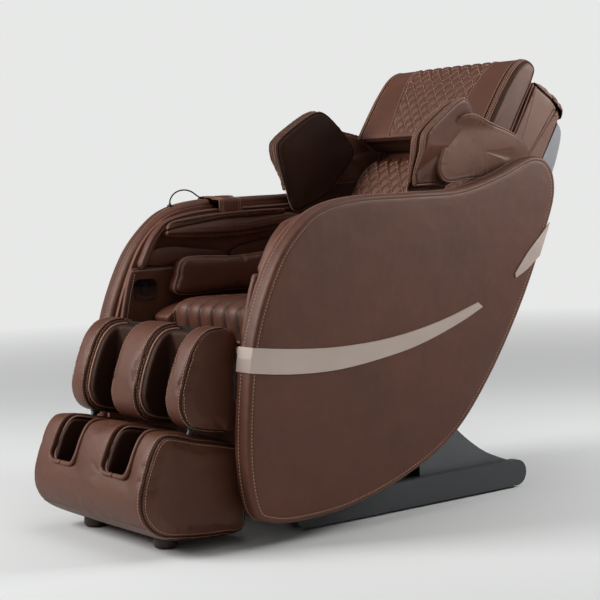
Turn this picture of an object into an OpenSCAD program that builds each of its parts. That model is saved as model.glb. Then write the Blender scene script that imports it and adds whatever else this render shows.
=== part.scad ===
// Upholstered massage chair with a tilting seat, reclining back, lifting legrest and foot slide.
// Origin: on the floor under the middle of the chair. +X is the sitter's left, -Y is the front.

/* [Overall] */
// Width over both upholstered sides
chair_w = 720; // [700:2:760]
// Padded thickness of one side
side_t = 60; // [52:1:66]
// Thickness of the board inside a side
board_t = 12; // [9:1:15]
// Thickness of the padded inner block of a side
block_t = 20; // [16:1:24]
// Height of the armrest top
arm_top = 808; // [790:1:820]
// Thickness of the metal trims
trim_t = 3; // [2:0.5:4]

/* [Seat] */
// Height of the seat cushion's crown
seat_top = 552; // [540:1:560]
// Thickness of the seat cushion
seat_t = 82; // [70:1:90]
// Thickness of the seat pan
pan_t = 12; // [9:1:15]
// Half width of the channelled middle of the seat
seat_mid = 168; // [150:2:180]
// Number of sewn channels across the middle
channels = 6; // [4:1:8]
// Depth of a sewn channel
channel_d = 9; // [4:1:12]
// Thickness of a hip pad
hip_t = 53; // [45:1:56]

/* [Back] */
// Lean of the back from vertical
back_lean = 33; // [31:0.5:35]
// Height of the back above the hip line
back_h = 654; // [640:1:665]
// Half width of the back over its side panels
back_half = 250; // [244:1:252]
// Depth of the leather side panels
back_d = 142; // [136:1:150]
// Wall of the rear shell
shell_wall = 4; // [3:0.5:5]
// Bulge of the rear shell at its middle
shell_crown = 34; // [0:2:40]
// Half width of the head pillow
pillow_half = 272; // [260:1:275]
// Thickness of the head pillow
pillow_t = 88; // [76:1:94]

/* [Legrest] */
// Half width over the outer calf blocks
calf_half = 258; // [250:1:262]
// Width of an outer calf block
calf_outer = 68; // [60:1:74]
// Half width of the middle calf block
calf_mid = 58; // [50:1:64]
// Half width of the foot unit
foot_half = 262; // [250:1:264]
// Thickness of the pads in the calf and foot wells
liner_t = 22; // [16:1:26]
// Diameter of the foot slide rods
rod_d = 16; // [12:1:18]
// Travel of the foot slide
foot_travel = 120; // [80:5:130]

/* [Base] */
// Half width over the base covers
base_half = 276; // [268:1:280]
// Height of the base covers
base_h = 69; // [62:1:76]
// Height of the rubber feet under the base
foot_h = 6; // [4:1:9]
// Wall of the plastic covers
cover_wall = 4; // [3:0.5:5]
// Diameter of a transport wheel
wheel_d = 54; // [44:1:56]
// Width of a transport wheel
wheel_w = 18; // [14:1:22]

/* [Mechanism] */
// Side of the square frame tubes
tube = 30; // [25:1:32]
// Wall of the frame tubes
tube_wall = 3; // [2:0.5:4]
// Thickness of the hinge plates
plate_t = 8; // [6:1:9]
// Diameter of the seat and back pivot pins
pivot_d = 24; // [18:1:26]
// Diameter of the legrest pins
leg_pin_d = 12; // [10:1:14]
// Diameter of an actuator tube
act_d = 36; // [32:1:38]
// Diameter of an actuator rod
act_rod_d = 22; // [16:1:24]
// Gear module of the racks and pinions
gear_m = 4; // [3:0.5:4]
// Teeth on a pinion
gear_z = 10; // [10:1:12]
// Diameter of a kneading roller
roller_d = 40; // [34:1:42]
// Width of a kneading roller
roller_w = 34; // [28:1:38]

/* [Hidden] */
$fn = 48;
gap = 0.3;            // clearance of soft pads from their neighbours
run_fit = 0.05;       // radial clearance of pins in their bores

half_w = chair_w / 2;
board_x = half_w - side_t;
inner_x = board_x - board_t;
block_x = inner_x - block_t;

// Pivots, as [y, z]
seat_pivot = [60, 300];
back_pivot = [235, 470];
leg_pivot = [-445, 425];
hip_line = [208, 540];
leg_lean = 28;
rod_start = [-566, 262];
rod_x = calf_half - calf_outer / 2;

// Actuators: tail pin, rod eye and side position
tilt_tail = [-252, 99];
tilt_eye = [-99.7, 358.1];
tilt_x = 70;
recline_tail = [-200, 376.5];
recline_eye = [264.5, 376.5];
recline_x = -60;
act_pin_d = 10;
act_fork = 14;        // half gap between the plates of an actuator bracket

rail_x = 176;         // inner face of the seat rails
rail_z = 400;         // underside of the seat rails
board_lugs = [-290, -60, 170];
back_rail_x = 140;    // inner face of the back rails
back_rail_y = 46;     // front of the back rails, from the hip line
carriage_z = 150;     // rest height of the carriage up the back
pinion_y = back_rail_y + tube + 9 + gear_m * gear_z / 2;
knob_at = [-366, 576];
strap_y = -90;        // middle of the remote control's strap
strap_l = 75;

// ---------- curves and lofts ----------

function blend4(a, b, c, d, t) =
    0.5 * (2 * b + (c - a) * t + (2 * a - 5 * b + 4 * c - d) * t * t
        + (3 * b - a - 3 * c + d) * t * t * t);

// A closed smooth loop through control points, n steps between neighbours
function loop_curve(p, n) = let (m = len(p)) [
    for (i = [0 : m - 1]) for (k = [0 : n - 1])
        blend4(p[(i + m - 1) % m], p[i], p[(i + 1) % m], p[(i + 2) % m], k / n)
];

// An open smooth curve through control points
function open_curve(p, n) = let (m = len(p)) concat([
    for (i = [0 : m - 2]) for (k = [0 : n - 1])
        blend4(p[max(i - 1, 0)], p[i], p[i + 1], p[min(i + 2, m - 1)], k / n)
], [p[m - 1]]);

function turned(p) = [for (i = [len(p) - 1 : -1 : 0]) p[i]];
function area2(p, i = 0) = i >= len(p) ? 0
    : p[i].x * p[(i + 1) % len(p)].y - p[(i + 1) % len(p)].x * p[i].y + area2(p, i + 1);
function ccw(p) = area2(p) >= 0 ? p : turned(p);

// Each point of a loop moved square to the loop, inwards for a positive distance
function inset(p, d) = let (q = ccw(p), m = len(q)) [
    for (i = [0 : m - 1])
        let (t = q[(i + 1) % m] - q[(i + m - 1) % m])
        q[i] + d * [-t.y, t.x] / max(norm(t), 0.001)
];

// Each point of a loop moved towards the middle of the loop
function shrunk(p, d) = let (q = ccw(p), c = middle(q))
    [for (v = q) v + d * (c - v) / norm(c - v)];

// An open curve moved square to itself, to the left of its run for a positive distance
function pushed(p, d) = let (m = len(p)) [
    for (i = [0 : m - 1])
        let (t = p[min(i + 1, m - 1)] - p[max(i - 1, 0)])
        p[i] + d * [-t.y, t.x] / norm(t)
];

// A strip of the given width along an open curve
function strip(p, w) = concat(pushed(p, w / 2), turned(pushed(p, -w / 2)));

function middle(p) = [for (v = p) 1 / len(p)] * p;

// A solid through rings of equally many points, the rings counter-clockwise seen from the last.
// Rings that aren't flat are closed by a fan round their middle.
module loft(rings, fan = false) {
    n = len(rings[0]);
    m = len(rings);
    last = (m - 1) * n;
    sides = [for (j = [0 : m - 2]) for (i = [0 : n - 1]) let (k = (i + 1) % n) each [
        [j * n + i, (j + 1) * n + i, j * n + k],
        [j * n + k, (j + 1) * n + i, (j + 1) * n + k]
    ]];
    ends = fan
        ? [for (i = [0 : n - 1]) let (k = (i + 1) % n) each [[m * n, i, k], [m * n + 1, last + k, last + i]]]
        : [[for (i = [0 : n - 1]) i], [for (i = [n - 1 : -1 : 0]) last + i]];
    polyhedron(
        points = concat([for (r = rings) each r], fan ? [middle(rings[0]), middle(rings[m - 1])] : []),
        faces = concat(ends, sides),
        convexity = 8
    );
}

// Stations of a pad from h0 to h1: [height, inset], with edges rounded by r
function soft_edge(h0, h1, r, k = 2) = concat(
    [for (i = [0 : k]) let (a = 90 * i / k) [h0 + r * (1 - cos(a)), r * (1 - sin(a))]],
    [for (i = [k : -1 : 0]) let (a = 90 * i / k) [h1 - r * (1 - cos(a)), r * (1 - sin(a))]]
);

// A pad whose outline lies in Y-Z and whose thickness runs along X
module side_pad(outline, stations) {
    loft([for (s = stations) [for (q = inset(outline, s[1])) [s[0], q.x, q.y]]]);
}

// A flat Y-Z drawing extruded along X
module yz(x0, x1) {
    translate([x0, 0, 0]) rotate([90, 0, 90]) linear_extrude(x1 - x0) children();
}

module both() {
    children();
    mirror([1, 0, 0]) children();
}

module x_rod(x0, x1, at, d) {
    translate([x0, at.x, at.y]) rotate([0, 90, 0]) cylinder(h = x1 - x0, d = d);
}

// A square tube between two opposite corners, open at both ends along one axis
module box_tube(low, size, axis) {
    w = tube_wall;
    difference() {
        translate(low) cube(size);
        translate(low + [axis == 0 ? -1 : w, axis == 1 ? -1 : w, axis == 2 ? -1 : w])
            cube(size - [axis == 0 ? -2 : 2 * w, axis == 1 ? -2 : 2 * w, axis == 2 ? -2 : 2 * w]);
    }
}

module on_back() {
    translate([0, hip_line.x, hip_line.y]) rotate([-back_lean, 0, 0]) children();
}

// ---------- outlines, as [y, z] ----------

side_outline = ccw(loop_curve([
    [-478, 92], [-496, 220], [-481, 400], [-455, 520], [-405, 645], [-350, 727],
    [-268, arm_top - 24], [-150, arm_top - 4], [30, arm_top], [190, arm_top + 5],
    [320, arm_top + 36], [450, arm_top + 80], [515, arm_top + 56], [532, 790],
    [492, 685], [400, 507], [280, 330], [150, 193], [-10, 110], [-190, 60],
    [-340, 48], [-430, 58]
], 3));

swoosh_outline = concat(
    open_curve([[-530, 479], [-371, 459], [-220, 450], [-57, 457], [100, 483], [236, 521]], 4),
    open_curve([[252, 508], [172, 475], [54, 437], [-59, 414], [-220, 396], [-374, 400], [-530, 421]], 4)
);

wedge_outline = concat(
    open_curve([[373, 574], [415, 594], [459, 624], [530, 668]], 3),
    open_curve([[530, 735], [459, 673], [415, 634], [371, 586]], 3)
);

calf_front = open_curve([
    [-480, 514], [-505, 513], [-532, 504], [-562, 474], [-584, 430], [-600, 385], [-607, 348],
    [-599, 313], [-575, 288], [-530, 275], [-480, 267]
], 2);
calf_outline = concat(calf_front, [[-470, 268], [-470, 512]]);
calf_outer_outline = concat(calf_front, [[-446, 272], [-436, 300], [-432, 400], [-435, 480], [-448, 506]]);

foot_outline = loop_curve([
    [-424, 150], [-426, 222], [-470, 242], [-560, 263], [-640, 283], [-672, 270], [-697, 228],
    [-720, 165], [-724, 112], [-700, 68], [-655, 42], [-580, 29], [-500, 24], [-436, 34]
], 2);

well_outline = [
    [-760, 340], [-760, 215], [-715, 188], [-690, 130], [-650, 104], [-520, 92], [-478, 120], [-470, 340]
];

// ---------- base ----------

base_y0 = -300;
base_y1 = 479;
base_r = base_h / 2 - 1;
rail_low = foot_h + 14;

function base_profile() = [
    for (a = [270 : 15 : 360]) [base_y1 - base_r, foot_h + base_r] + base_r * [cos(a), sin(a)],
    for (a = [15 : 15 : 90]) [base_y1 - base_r, foot_h + base_h - base_r] + base_r * [cos(a), sin(a)],
    [base_y0 + 12, foot_h + base_h],
    [base_y0, foot_h + base_h - 12],
    for (a = [180 : 15 : 270]) [base_y0 + base_r, foot_h + base_r] + base_r * [cos(a), sin(a)]
];

module base_covers() {
    color("#4b4d4f") both() difference() {
        yz(base_half - 24, base_half) polygon(base_profile());
        yz(base_half - 25, base_half - cover_wall) polygon(inset(base_profile(), cover_wall));
    }
}

apron_curve = open_curve([
    [448, foot_h + base_h - 8], [412, 80], [355, 104], [300, 139], [248, 182], [212, 224], [190, 262]
], 3);

module base_apron() {
    apron_half = base_half - 26;
    color("#55585a") difference() {
        union() {
            yz(-apron_half, apron_half) polygon(strip(apron_curve, cover_wall));
            both() yz(apron_half - cover_wall, apron_half)
                polygon(concat(apron_curve, [[120, 262], [120, foot_h + base_h], [448, foot_h + base_h - 8]]));
            translate([-apron_half, base_y1 - 22, foot_h + 6]) cube([2 * apron_half, cover_wall, base_h - 14]);
            // ears of the power switch
            for (x = [-84, -56]) yz(x, x + 4) polygon([
                [base_y1 - 21, foot_h + 27], [base_y1 - 30, foot_h + 27], [base_y1 - 33, foot_h + 35],
                [base_y1 - 30, foot_h + 43], [base_y1 - 21, foot_h + 43]
            ]);
            translate([-apron_half, 448 - 2, foot_h + base_h - 12])
                cube([2 * apron_half, base_y1 - 448 - 16, cover_wall]);
        }
        translate([-150, base_y1 - 30, foot_h + 18]) cube([52, 20, 34]);
        translate([-80, base_y1 - 30, foot_h + 22]) cube([24, 20, 26]);
        x_rod(-90, -46, switch_at, 4 + 2 * run_fit);
    }
}

tower_plate = [
    [seat_pivot.x - 26, seat_pivot.y + 22], [seat_pivot.x + 26, seat_pivot.y + 22],
    [seat_pivot.x + 70, rail_low + tube], [seat_pivot.x - 150, rail_low + tube]
];

module base_frame() {
    rail_in = base_half - 46 - tube;
    front = base_y0 + 20;
    back = base_y1 - 40;
    tower_x = rail_x - plate_t - 4 - plate_t;
    color("#2b2c2e") difference() {
        union() {
            both() box_tube([rail_in, front, rail_low], [tube, back - front, tube], 1);
            for (y = [front + 18, seat_pivot.x - tube / 2, back - tube])
                box_tube([-rail_in, y, rail_low], [2 * rail_in, tube, tube], 0);
            both() yz(tower_x, tower_x + plate_t) polygon(tower_plate);
            both() translate([tower_x, seat_pivot.x - 150, rail_low])
                cube([plate_t, 220, tube]);
            both() x_rod(tower_x - 6, tower_x + plate_t, seat_pivot, pivot_d + 16);
            for (s = [-1, 1]) yz(tilt_x + s * (act_fork + 4) - 3, tilt_x + s * (act_fork + 4) + 3)
                polygon([
                    [tilt_tail.x - 18, rail_low + tube - 2], [tilt_tail.x - 14, tilt_tail.y + 12],
                    [tilt_tail.x + 14, tilt_tail.y + 12], [tilt_tail.x + 18, rail_low + tube - 2]
                ]);
            x_rod(tilt_x - act_fork - 10, tilt_x + act_fork + 10, tilt_tail, act_pin_d);
            both() translate([rail_in, wheel_at.x - 20, rail_low]) cube([tube, 40, tube]);
            both() x_rod(rail_in + tube - 1, base_half - cover_wall - 2, wheel_at, 12);
            // lugs that carry the side covers and the rear apron
            both() for (y = [front + 30, seat_pivot.x, back - 150]) translate([rail_in + tube, y, rail_low + 8])
                cube([base_half - cover_wall - rail_in - tube, 24, 16]);
            both() translate([150, back, rail_low + 4]) cube([24, base_y1 - 22 - back, 20]);
        }
        both() x_rod(tower_x - 10, tower_x + plate_t + 1, seat_pivot, pivot_d + 2 * run_fit);
    }
}

wheel_at = [base_y1 - 66, foot_h - 4 + wheel_d / 2];

module transport_wheel() {
    x0 = base_half - 45;
    translate([x0, wheel_at.x, wheel_at.y]) rotate([0, 90, 0]) rotate_extrude() polygon([
        [6 + run_fit, 0], [wheel_d / 2 - 8, 0], [wheel_d / 2 - 8, 3], [wheel_d / 2 - 4, 0.5],
        [wheel_d / 2, 4], [wheel_d / 2, wheel_w - 4], [wheel_d / 2 - 4, wheel_w - 0.5],
        [wheel_d / 2 - 8, wheel_w - 3], [wheel_d / 2 - 8, wheel_w], [6 + run_fit, wheel_w]
    ]);
}

module wheel_l() { color("#232323") transport_wheel(); }
module wheel_r() { color("#232323") mirror([1, 0, 0]) transport_wheel(); }

module base_feet() {
    rail_mid = base_half - 46 - tube / 2;
    color("#1d1d1d") both() for (y = [base_y0 + 60, 60, base_y1 - 130])
        translate([rail_mid, y, 0]) {
            cylinder(h = foot_h, d1 = 34, d2 = 38);
            cylinder(h = rail_low, d = 20);
        }
}

module control_box() {
    color("#3a3b3d") translate([-60, base_y1 - 70 - 120, rail_low + 2]) difference() {
        cube([150, 120, 52]);
        for (i = [0 : 7]) translate([16 + i * 15, -1, 34]) cube([6, 5, 12]);
    }
}

module power_inlet() {
    color("#18191a") translate([-150 + gap, base_y1 - 30, foot_h + 18 + gap]) difference() {
        union() {
            cube([52 - 2 * gap, 12, 34 - 2 * gap]);
            translate([-5, 12, -5]) cube([62 - 2 * gap, 2.5, 44 - 2 * gap]);
        }
        translate([12, 2, 7]) cube([28, 20, 20]);
    }
}

switch_at = [base_y1 - 26, foot_h + 35];

module power_switch() {
    color("#8d1f1b") union() {
        yz(-79, -57) polygon([
            switch_at + [-4, -5], switch_at + [11, -8], switch_at + [8, 0], switch_at + [12, 8], switch_at + [-4, 5]
        ]);
        x_rod(-83, -53, switch_at, 4);
    }
}

// ---------- actuators ----------

// Things drawn along +Z from the tail pin are laid along the actuator's own line
module along(tail, eye, x) {
    d = eye - tail;
    translate([x, tail.x, tail.y]) rotate([-atan2(d.x, d.y), 0, 0]) children();
}

act_stroke = 62;

// The tube ends short of the rod's eye by what the rod is out when the chair is upright
module actuator_body(tail, eye, out = 0) {
    l = norm(eye - tail);
    tube_l = l - 34 - out;
    difference() {
        union() {
            x_rod(-act_fork + 1, act_fork - 1, [0, 0], 28);
            translate([-9, -12, 0]) cube([18, 24, 26]);
            translate([0, 0, 20]) cylinder(h = 34, d = act_d + 12);
            translate([0, 0, 50]) cylinder(h = tube_l - 50, d = act_d);
            translate([0, 0, tube_l - 16]) cylinder(h = 16, d = act_d + 5);
            translate([act_d / 2 + 16, 0, 26]) cylinder(h = 96, d = 38);
            translate([0, -14, 26]) cube([act_d / 2 + 16, 28, 22]);
        }
        x_rod(-act_fork, act_fork, [0, 0], act_pin_d + 2 * run_fit);
        translate([0, 0, 44]) cylinder(h = l, d = act_rod_d + 1);
    }
}

module actuator_rod(tail, eye, reach) {
    l = norm(eye - tail);
    difference() {
        union() {
            translate([0, 0, reach]) cylinder(h = l - 10 - reach, d = act_rod_d);
            translate([0, 0, l]) rotate([0, 90, 0]) cylinder(h = 22, d = 30, center = true);
        }
        translate([0, 0, l]) rotate([0, 90, 0]) cylinder(h = 40, d = act_pin_d + 7, center = true);
    }
}

module tilt_actuator() { color("#202123") along(tilt_tail, tilt_eye, tilt_x) actuator_body(tilt_tail, tilt_eye); }
module tilt_rod() { color("#c9cbcd") along(tilt_tail, tilt_eye, tilt_x) actuator_rod(tilt_tail, tilt_eye, 60); }
module recline_actuator() {
    color("#202123") along(recline_tail, recline_eye, recline_x) actuator_body(recline_tail, recline_eye, act_stroke);
}
module recline_rod() {
    color("#c9cbcd") along(recline_tail, recline_eye, recline_x)
        actuator_rod(recline_tail, recline_eye, 60 + act_stroke);
}

// ---------- seat ----------

module seat_frame() {
    ear_x = rail_x - plate_t;
    color("#2b2c2e") difference() {
        union() {
            both() box_tube([rail_x, -340, rail_z], [tube, 600, tube], 1);
            for (y = [-340, recline_tail.x - tube / 2, tilt_eye.x - tube / 2, seat_pivot.x - tube / 2, 166])
                box_tube([-rail_x, y, rail_z], [2 * rail_x, tube, tube], 0);
            // ears and pins of the seat pivot
            both() yz(ear_x, rail_x) polygon([
                [seat_pivot.x - 60, rail_z + tube], [seat_pivot.x + 60, rail_z + tube],
                [seat_pivot.x + 24, seat_pivot.y - 22], [seat_pivot.x - 24, seat_pivot.y - 22]
            ]);
            both() x_rod(ear_x - plate_t - 8, rail_x, seat_pivot, pivot_d);
            // ears and pins of the back pivot
            both() yz(rail_x, rail_x + plate_t) polygon([
                [180, rail_z + tube - 1], [260, rail_z + tube - 1],
                [back_pivot.x + 22, back_pivot.y + 20], [back_pivot.x - 22, back_pivot.y + 20]
            ]);
            both() x_rod(back_rail_x + 16, rail_x + plate_t, back_pivot, pivot_d - 4);
            // arms and bushes of the legrest pivot
            both() for (x = [100, 142]) yz(x, x + plate_t) polygon([
                [-338, rail_z], [-338, rail_z + tube], [-348, rail_z + tube], [leg_pivot.x, leg_pivot.y + 12],
                [leg_pivot.x - 6, leg_pivot.y], [leg_pivot.x, leg_pivot.y - 12]
            ]);
            both() x_rod(92, 158, leg_pivot, leg_pin_d + 12);
            // brackets of the two actuators
            for (s = [-1, 1]) {
                yz(recline_x + s * (act_fork + 4) - 3, recline_x + s * (act_fork + 4) + 3) polygon([
                    [recline_tail.x - 14, rail_z + 2], [recline_tail.x + 14, rail_z + 2],
                    [recline_tail.x + 12, recline_tail.y - 12], [recline_tail.x - 12, recline_tail.y - 12]
                ]);
                yz(tilt_x + s * (act_fork + 4) - 3, tilt_x + s * (act_fork + 4) + 3) polygon([
                    [tilt_eye.x - 14, rail_z + 2], [tilt_eye.x + 14, rail_z + 2],
                    [tilt_eye.x + 12, tilt_eye.y - 12], [tilt_eye.x - 12, tilt_eye.y - 12]
                ]);
            }
            x_rod(recline_x - act_fork - 7, recline_x + act_fork + 7, recline_tail, act_pin_d);
            x_rod(tilt_x - act_fork - 7, tilt_x + act_fork + 7, tilt_eye, act_pin_d);
            // lugs that carry the side boards
            both() for (y = board_lugs) translate([rail_x + tube, y, rail_z])
                cube([inner_x - rail_x - tube, 40, tube]);
        }
        both() x_rod(90, 160, leg_pivot, leg_pin_d + 2 * run_fit);
    }
}

pan_z = rail_z + tube;

module seat_pan() {
    color("#b08a5a") difference() {
        translate([18 - block_x, -344, pan_z]) cube([2 * block_x - 36, 500, pan_t]);
        for (x = [-120, 0, 120]) for (y = [-220, -60]) translate([x, y, pan_z - 1])
            cylinder(h = pan_t + 2, d = 30);
    }
}

// Groove of the sewn channels across the middle of the seat
function channel_groove(x) = abs(x) > seat_mid ? 0
    : let (pitch = 2 * seat_mid / channels, u = abs(((x + seat_mid) / pitch) % 1 - 0.5) * 2)
    channel_d * pow(u, 5);

seat_low = pan_z + pan_t + gap;

function seat_profile() = let (t = seat_top, b = seat_low) loop_curve([
    [-330, b + 20], [-338, t - 34], [-322, t - 8], [-280, t], [-160, t - 4], [0, t - 8],
    [136, t - 6], [170, t - 20], [176, b + 24], [154, b + 3], [-100, b + 1], [-300, b + 3]
], 2);

seat_half = block_x - gap - 2;

seat_stations = concat(
    [-seat_half, -seat_half + 6, -seat_half + 22, -seat_half + 56, -seat_mid - 14],
    [for (i = [0 : channels - 1]) for (u = [0, 0.12, 0.5, 0.88])
        -seat_mid + 2 * seat_mid * (i + u) / channels],
    [seat_mid, seat_mid + 14, seat_half - 56, seat_half - 22, seat_half - 6, seat_half]
);

function seat_inset(x) = let (e = (seat_half - abs(x)) / 30)
    channel_groove(x) + (e < 1 ? 22 * pow(1 - e, 2) : 0);

module seat_cushion() {
    color("#5a2f25") loft([for (x = seat_stations) [
        for (q = inset(seat_profile(), 0)) let (s = seat_inset(x), c = [-80, (seat_top + seat_low) / 2])
            [x, q.x + (q.x < c.x ? 1 : -1) * s * 0.9 * min(1, abs(q.x - c.x) / 200),
                max(q.y > c.y ? q.y - s : q.y, seat_low)]
    ]]);
}

module side_cover() {
    side_pad(side_outline, [
        [board_x, 5], [board_x + 8, 0], [half_w - 12, 0], [half_w - 4, 3], [half_w, 10]
    ]);
}
module side_cover_l() { color("#6b3a2d") side_cover(); }
module side_cover_r() { color("#6b3a2d") mirror([1, 0, 0]) side_cover(); }

module side_board() {
    difference() {
        yz(inner_x, board_x) polygon(inset(side_outline, 16));
        // the boards stop below the path of the shoulder wings
        yz(inner_x - 1, board_x + 1) polygon([[215, 770], [215, 1000], [600, 1000], [600, 690], [480, 700]]);
        for (y = [-270, -40, 190]) for (z = [rail_z + tube / 2])
            x_rod(inner_x - 1, board_x + 1, [y, z], 9);
    }
}
module side_board_l() { color("#4a261d") side_board(); }
module side_board_r() { color("#4a261d") mirror([1, 0, 0]) side_board(); }

module trim() {
    outer = inset(side_outline, -trim_t);
    yz(half_w, half_w + trim_t) intersection() {
        polygon(swoosh_outline);
        polygon(outer);
    }
    yz(board_x + 6, half_w + trim_t) intersection() {
        difference() {
            polygon(outer);
            polygon(side_outline);
        }
        polygon([[-540, 421], [-540, 479], [-400, 463], [-400, 404]]);
    }
    yz(half_w, half_w + trim_t) intersection() {
        polygon(wedge_outline);
        polygon(inset(side_outline, 1));
    }
}
module trim_l() { color("#c9b8ab") trim(); }
module trim_r() { color("#c9b8ab") mirror([1, 0, 0]) trim(); }

roll_curve = open_curve([
    [-399, 646], [-372, 692], [-332, 731], [-270, arm_top - 48], [-160, arm_top - 32],
    [20, arm_top - 28], [186, arm_top - 24]
], 3);
roll_w = 40;
roll_x = inner_x - 30;

// One rounded section of the roll, square to its line
function roll_ring(c, t, d) = let (n = [-t.y, t.x] / norm(t), r = 9 - d / 2, h = roll_w / 2 - d - r,
    x0 = roll_x + d + r, x1 = inner_x - gap - d - r) [
    for (k = [[x1, h, 0], [x0, h, 90], [x0, -h, 180], [x1, -h, 270]]) for (a = [0, 30, 60, 90])
        let (v = k.y + r * sin(k.z + a)) [k.x + r * cos(k.z + a), c.x + v * n.x, c.y + v * n.y]
];

module arm_roll() {
    m = len(roll_curve);
    first = roll_curve[1] - roll_curve[0];
    last = roll_curve[m - 1] - roll_curve[m - 2];
    loft(concat(
        [roll_ring(roll_curve[0], first, 6), roll_ring(roll_curve[0] + 5 * first / norm(first), first, 0)],
        [for (i = [1 : m - 2]) roll_ring(roll_curve[i], roll_curve[i + 1] - roll_curve[i - 1], 0)],
        [roll_ring(roll_curve[m - 1] - 5 * last / norm(last), last, 0), roll_ring(roll_curve[m - 1], last, 6)]
    ));
}
module arm_roll_l() { color("#6b3a2d") arm_roll(); }
module arm_roll_r() { color("#6b3a2d") mirror([1, 0, 0]) arm_roll(); }

shelf_z = 632;
block_outline = loop_curve([
    [-404, shelf_z - 8], [-424, 560], [-440, 490], [-452, 420], [-440, 372], [-380, 366], [-200, 400],
    [20, 440], [100, 470], [112, 560], [104, shelf_z - 4], [60, shelf_z], [-180, shelf_z], [-380, shelf_z]
], 2);

module inner_block() {
    difference() {
        side_pad(block_outline, soft_edge(block_x, inner_x - gap, 7));
        for (y = board_lugs) translate([block_x - 1, y - gap, rail_z - gap])
            cube([inner_x - block_x + 2, 40 + 2 * gap, tube + 2 * gap]);
    }
}
module inner_block_l() { color("#5a2f25") inner_block(); }
module inner_block_r() {
    color("#5a2f25") difference() {
        mirror([1, 0, 0]) inner_block();
        translate([-block_x - 1, knob_at.x, knob_at.y]) rotate([0, 90, 0]) cylinder(h = 10, d = 20, center = true);
    }
}

hip_x = block_x - gap - hip_t;
hip_outline = loop_curve([
    [-288, seat_top + 6], [-290, 610], [-276, 646], [-240, 657], [-100, 655], [40, 659], [92, 650],
    [98, 600], [84, seat_top + 6], [-100, seat_top + 4]
], 2);

module hip_pad() { side_pad(hip_outline, soft_edge(hip_x, block_x - gap, 18)); }
module hip_pad_l() { color("#5a2f25") hip_pad(); }
module hip_pad_r() { color("#5a2f25") mirror([1, 0, 0]) hip_pad(); }

pad_x = inner_x - gap - 48;
upper_pad_outline = loop_curve([
    [-304, 719], [-278, 706], [-148, 701], [-28, 704], [122, 726], [136, 743], [120, 750],
    [-28, 744], [-148, 739], [-278, 730]
], 2);
front_pad_outline = loop_curve([
    [-372, 650], [-330, shelf_z + 4], [-260, shelf_z + 3], [-116, shelf_z + 4], [-100, 653], [-118, 668],
    [-200, 678], [-280, 686], [-340, 675]
], 2);
rear_pad_outline = loop_curve([
    [-88, 652], [-70, shelf_z + 4], [40, shelf_z + 4], [70, 660], [72, 686], [50, 692], [-30, 680], [-74, 668]
], 2);

// The hip pad stands in front of the lower arm pads, so they keep to the shelf behind it
module arm_pads() {
    side_pad(upper_pad_outline, soft_edge(pad_x, inner_x - gap, 9));
    side_pad(front_pad_outline, soft_edge(block_x, inner_x - gap, 6));
    side_pad(rear_pad_outline, soft_edge(block_x, inner_x - gap, 6));
}
module arm_pads_l() { color("#4a261d") arm_pads(); }
module arm_pads_r() { color("#4a261d") mirror([1, 0, 0]) arm_pads(); }

// Control pad on the sitter's right inner block
bezel_w = 68;
bezel_h = 54;
bezel_t = 4;

module rounded_rect(w, h, r) {
    translate([-w / 2 + r, -h / 2]) square([w - 2 * r, h]);
    translate([-w / 2, -h / 2 + r]) square([w, h - 2 * r]);
    for (sx = [-1, 1]) for (sy = [-1, 1])
        translate([sx * (w / 2 - r), sy * (h / 2 - r)]) circle(r);
}

module control_bezel() {
    color("#141414") difference() {
        yz(-block_x, -block_x + bezel_t) translate(knob_at) rounded_rect(bezel_w, bezel_h, 16);
        x_rod(-block_x - 1, -block_x + bezel_t + 1, knob_at, 34);
        for (s = [-1, 1]) x_rod(-block_x + 2, -block_x + bezel_t + 1, knob_at + [24 * s, 0], 3);
    }
}

module control_knob() {
    color("#1c1c1c") difference() {
        union() {
            x_rod(-block_x - 5, -block_x + 3, knob_at, 18);
            x_rod(-block_x + 0.5, -block_x + 6, knob_at, 32);
        }
        for (a = [90, 210, 330]) translate([-block_x + 6, knob_at.x, knob_at.y]) rotate([a, 0, 0])
            translate([-1.5, 0, -1.2]) cube([3, 20, 2.4]);
    }
}

// Strap of the remote control, wrapped over the right armrest
module remote_strap() {
    inner = [
        [-half_w - 0.4, arm_top - 60], [-half_w - 0.4, arm_top - 9], [-half_w + 3.5, arm_top - 3],
        [-half_w + 12, arm_top - 0.4], [-board_x, arm_top - 0.4], [-inner_x - 1, arm_top - 5],
        [-roll_x - 4, arm_top - 6.5], [-roll_x + 0.4, arm_top - 13], [-roll_x + 0.4, arm_top - 56]
    ];
    color("#6b3a2d") translate([0, strap_y + strap_l / 2, 0]) rotate([90, 0, 0]) linear_extrude(strap_l)
        polygon(concat(inner, turned(pushed(inner, 4.5))));
}

gland_at = [side_t / 2 - half_w, -238, arm_top - 24];

module cable_gland() {
    color("#1a1a1a") translate(gland_at) {
        cylinder(h = 9, d = 16);
        translate([0, 0, 9]) cylinder(h = 5, d1 = 9, d2 = 6);
    }
}

// Route of the remote control's cable, from the gland to the strap
cable_d = 4;
cable_route = [
    gland_at + [0, 0, 14], gland_at + [0, 0, 18], gland_at + [0, 3, 26], gland_at + [0, 13, 38],
    gland_at + [0, 30, 46], gland_at + [0, 50, 48], gland_at + [0, 70, 43], gland_at + [0, 86, 33],
    gland_at + [0, 98, 26], [gland_at.x, strap_y - strap_l / 2, gland_at.z + 26]
];

function unit(v) = v / norm(v);

module cable(route, d, sides) {
    n = len(route);
    loft([for (i = [0 : n - 1])
        let (t = unit(route[min(i + 1, n - 1)] - route[max(i - 1, 0)]), a = [1, 0, 0], b = cross(t, a))
        [for (k = [0 : sides - 1]) let (w = 360 * k / sides)
            route[i] + d / 2 * (cos(w) * a + sin(w) * b)]
    ]);
}

module remote_cable() { color("#161616") cable(turned(cable_route), cable_d, 8); }

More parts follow.
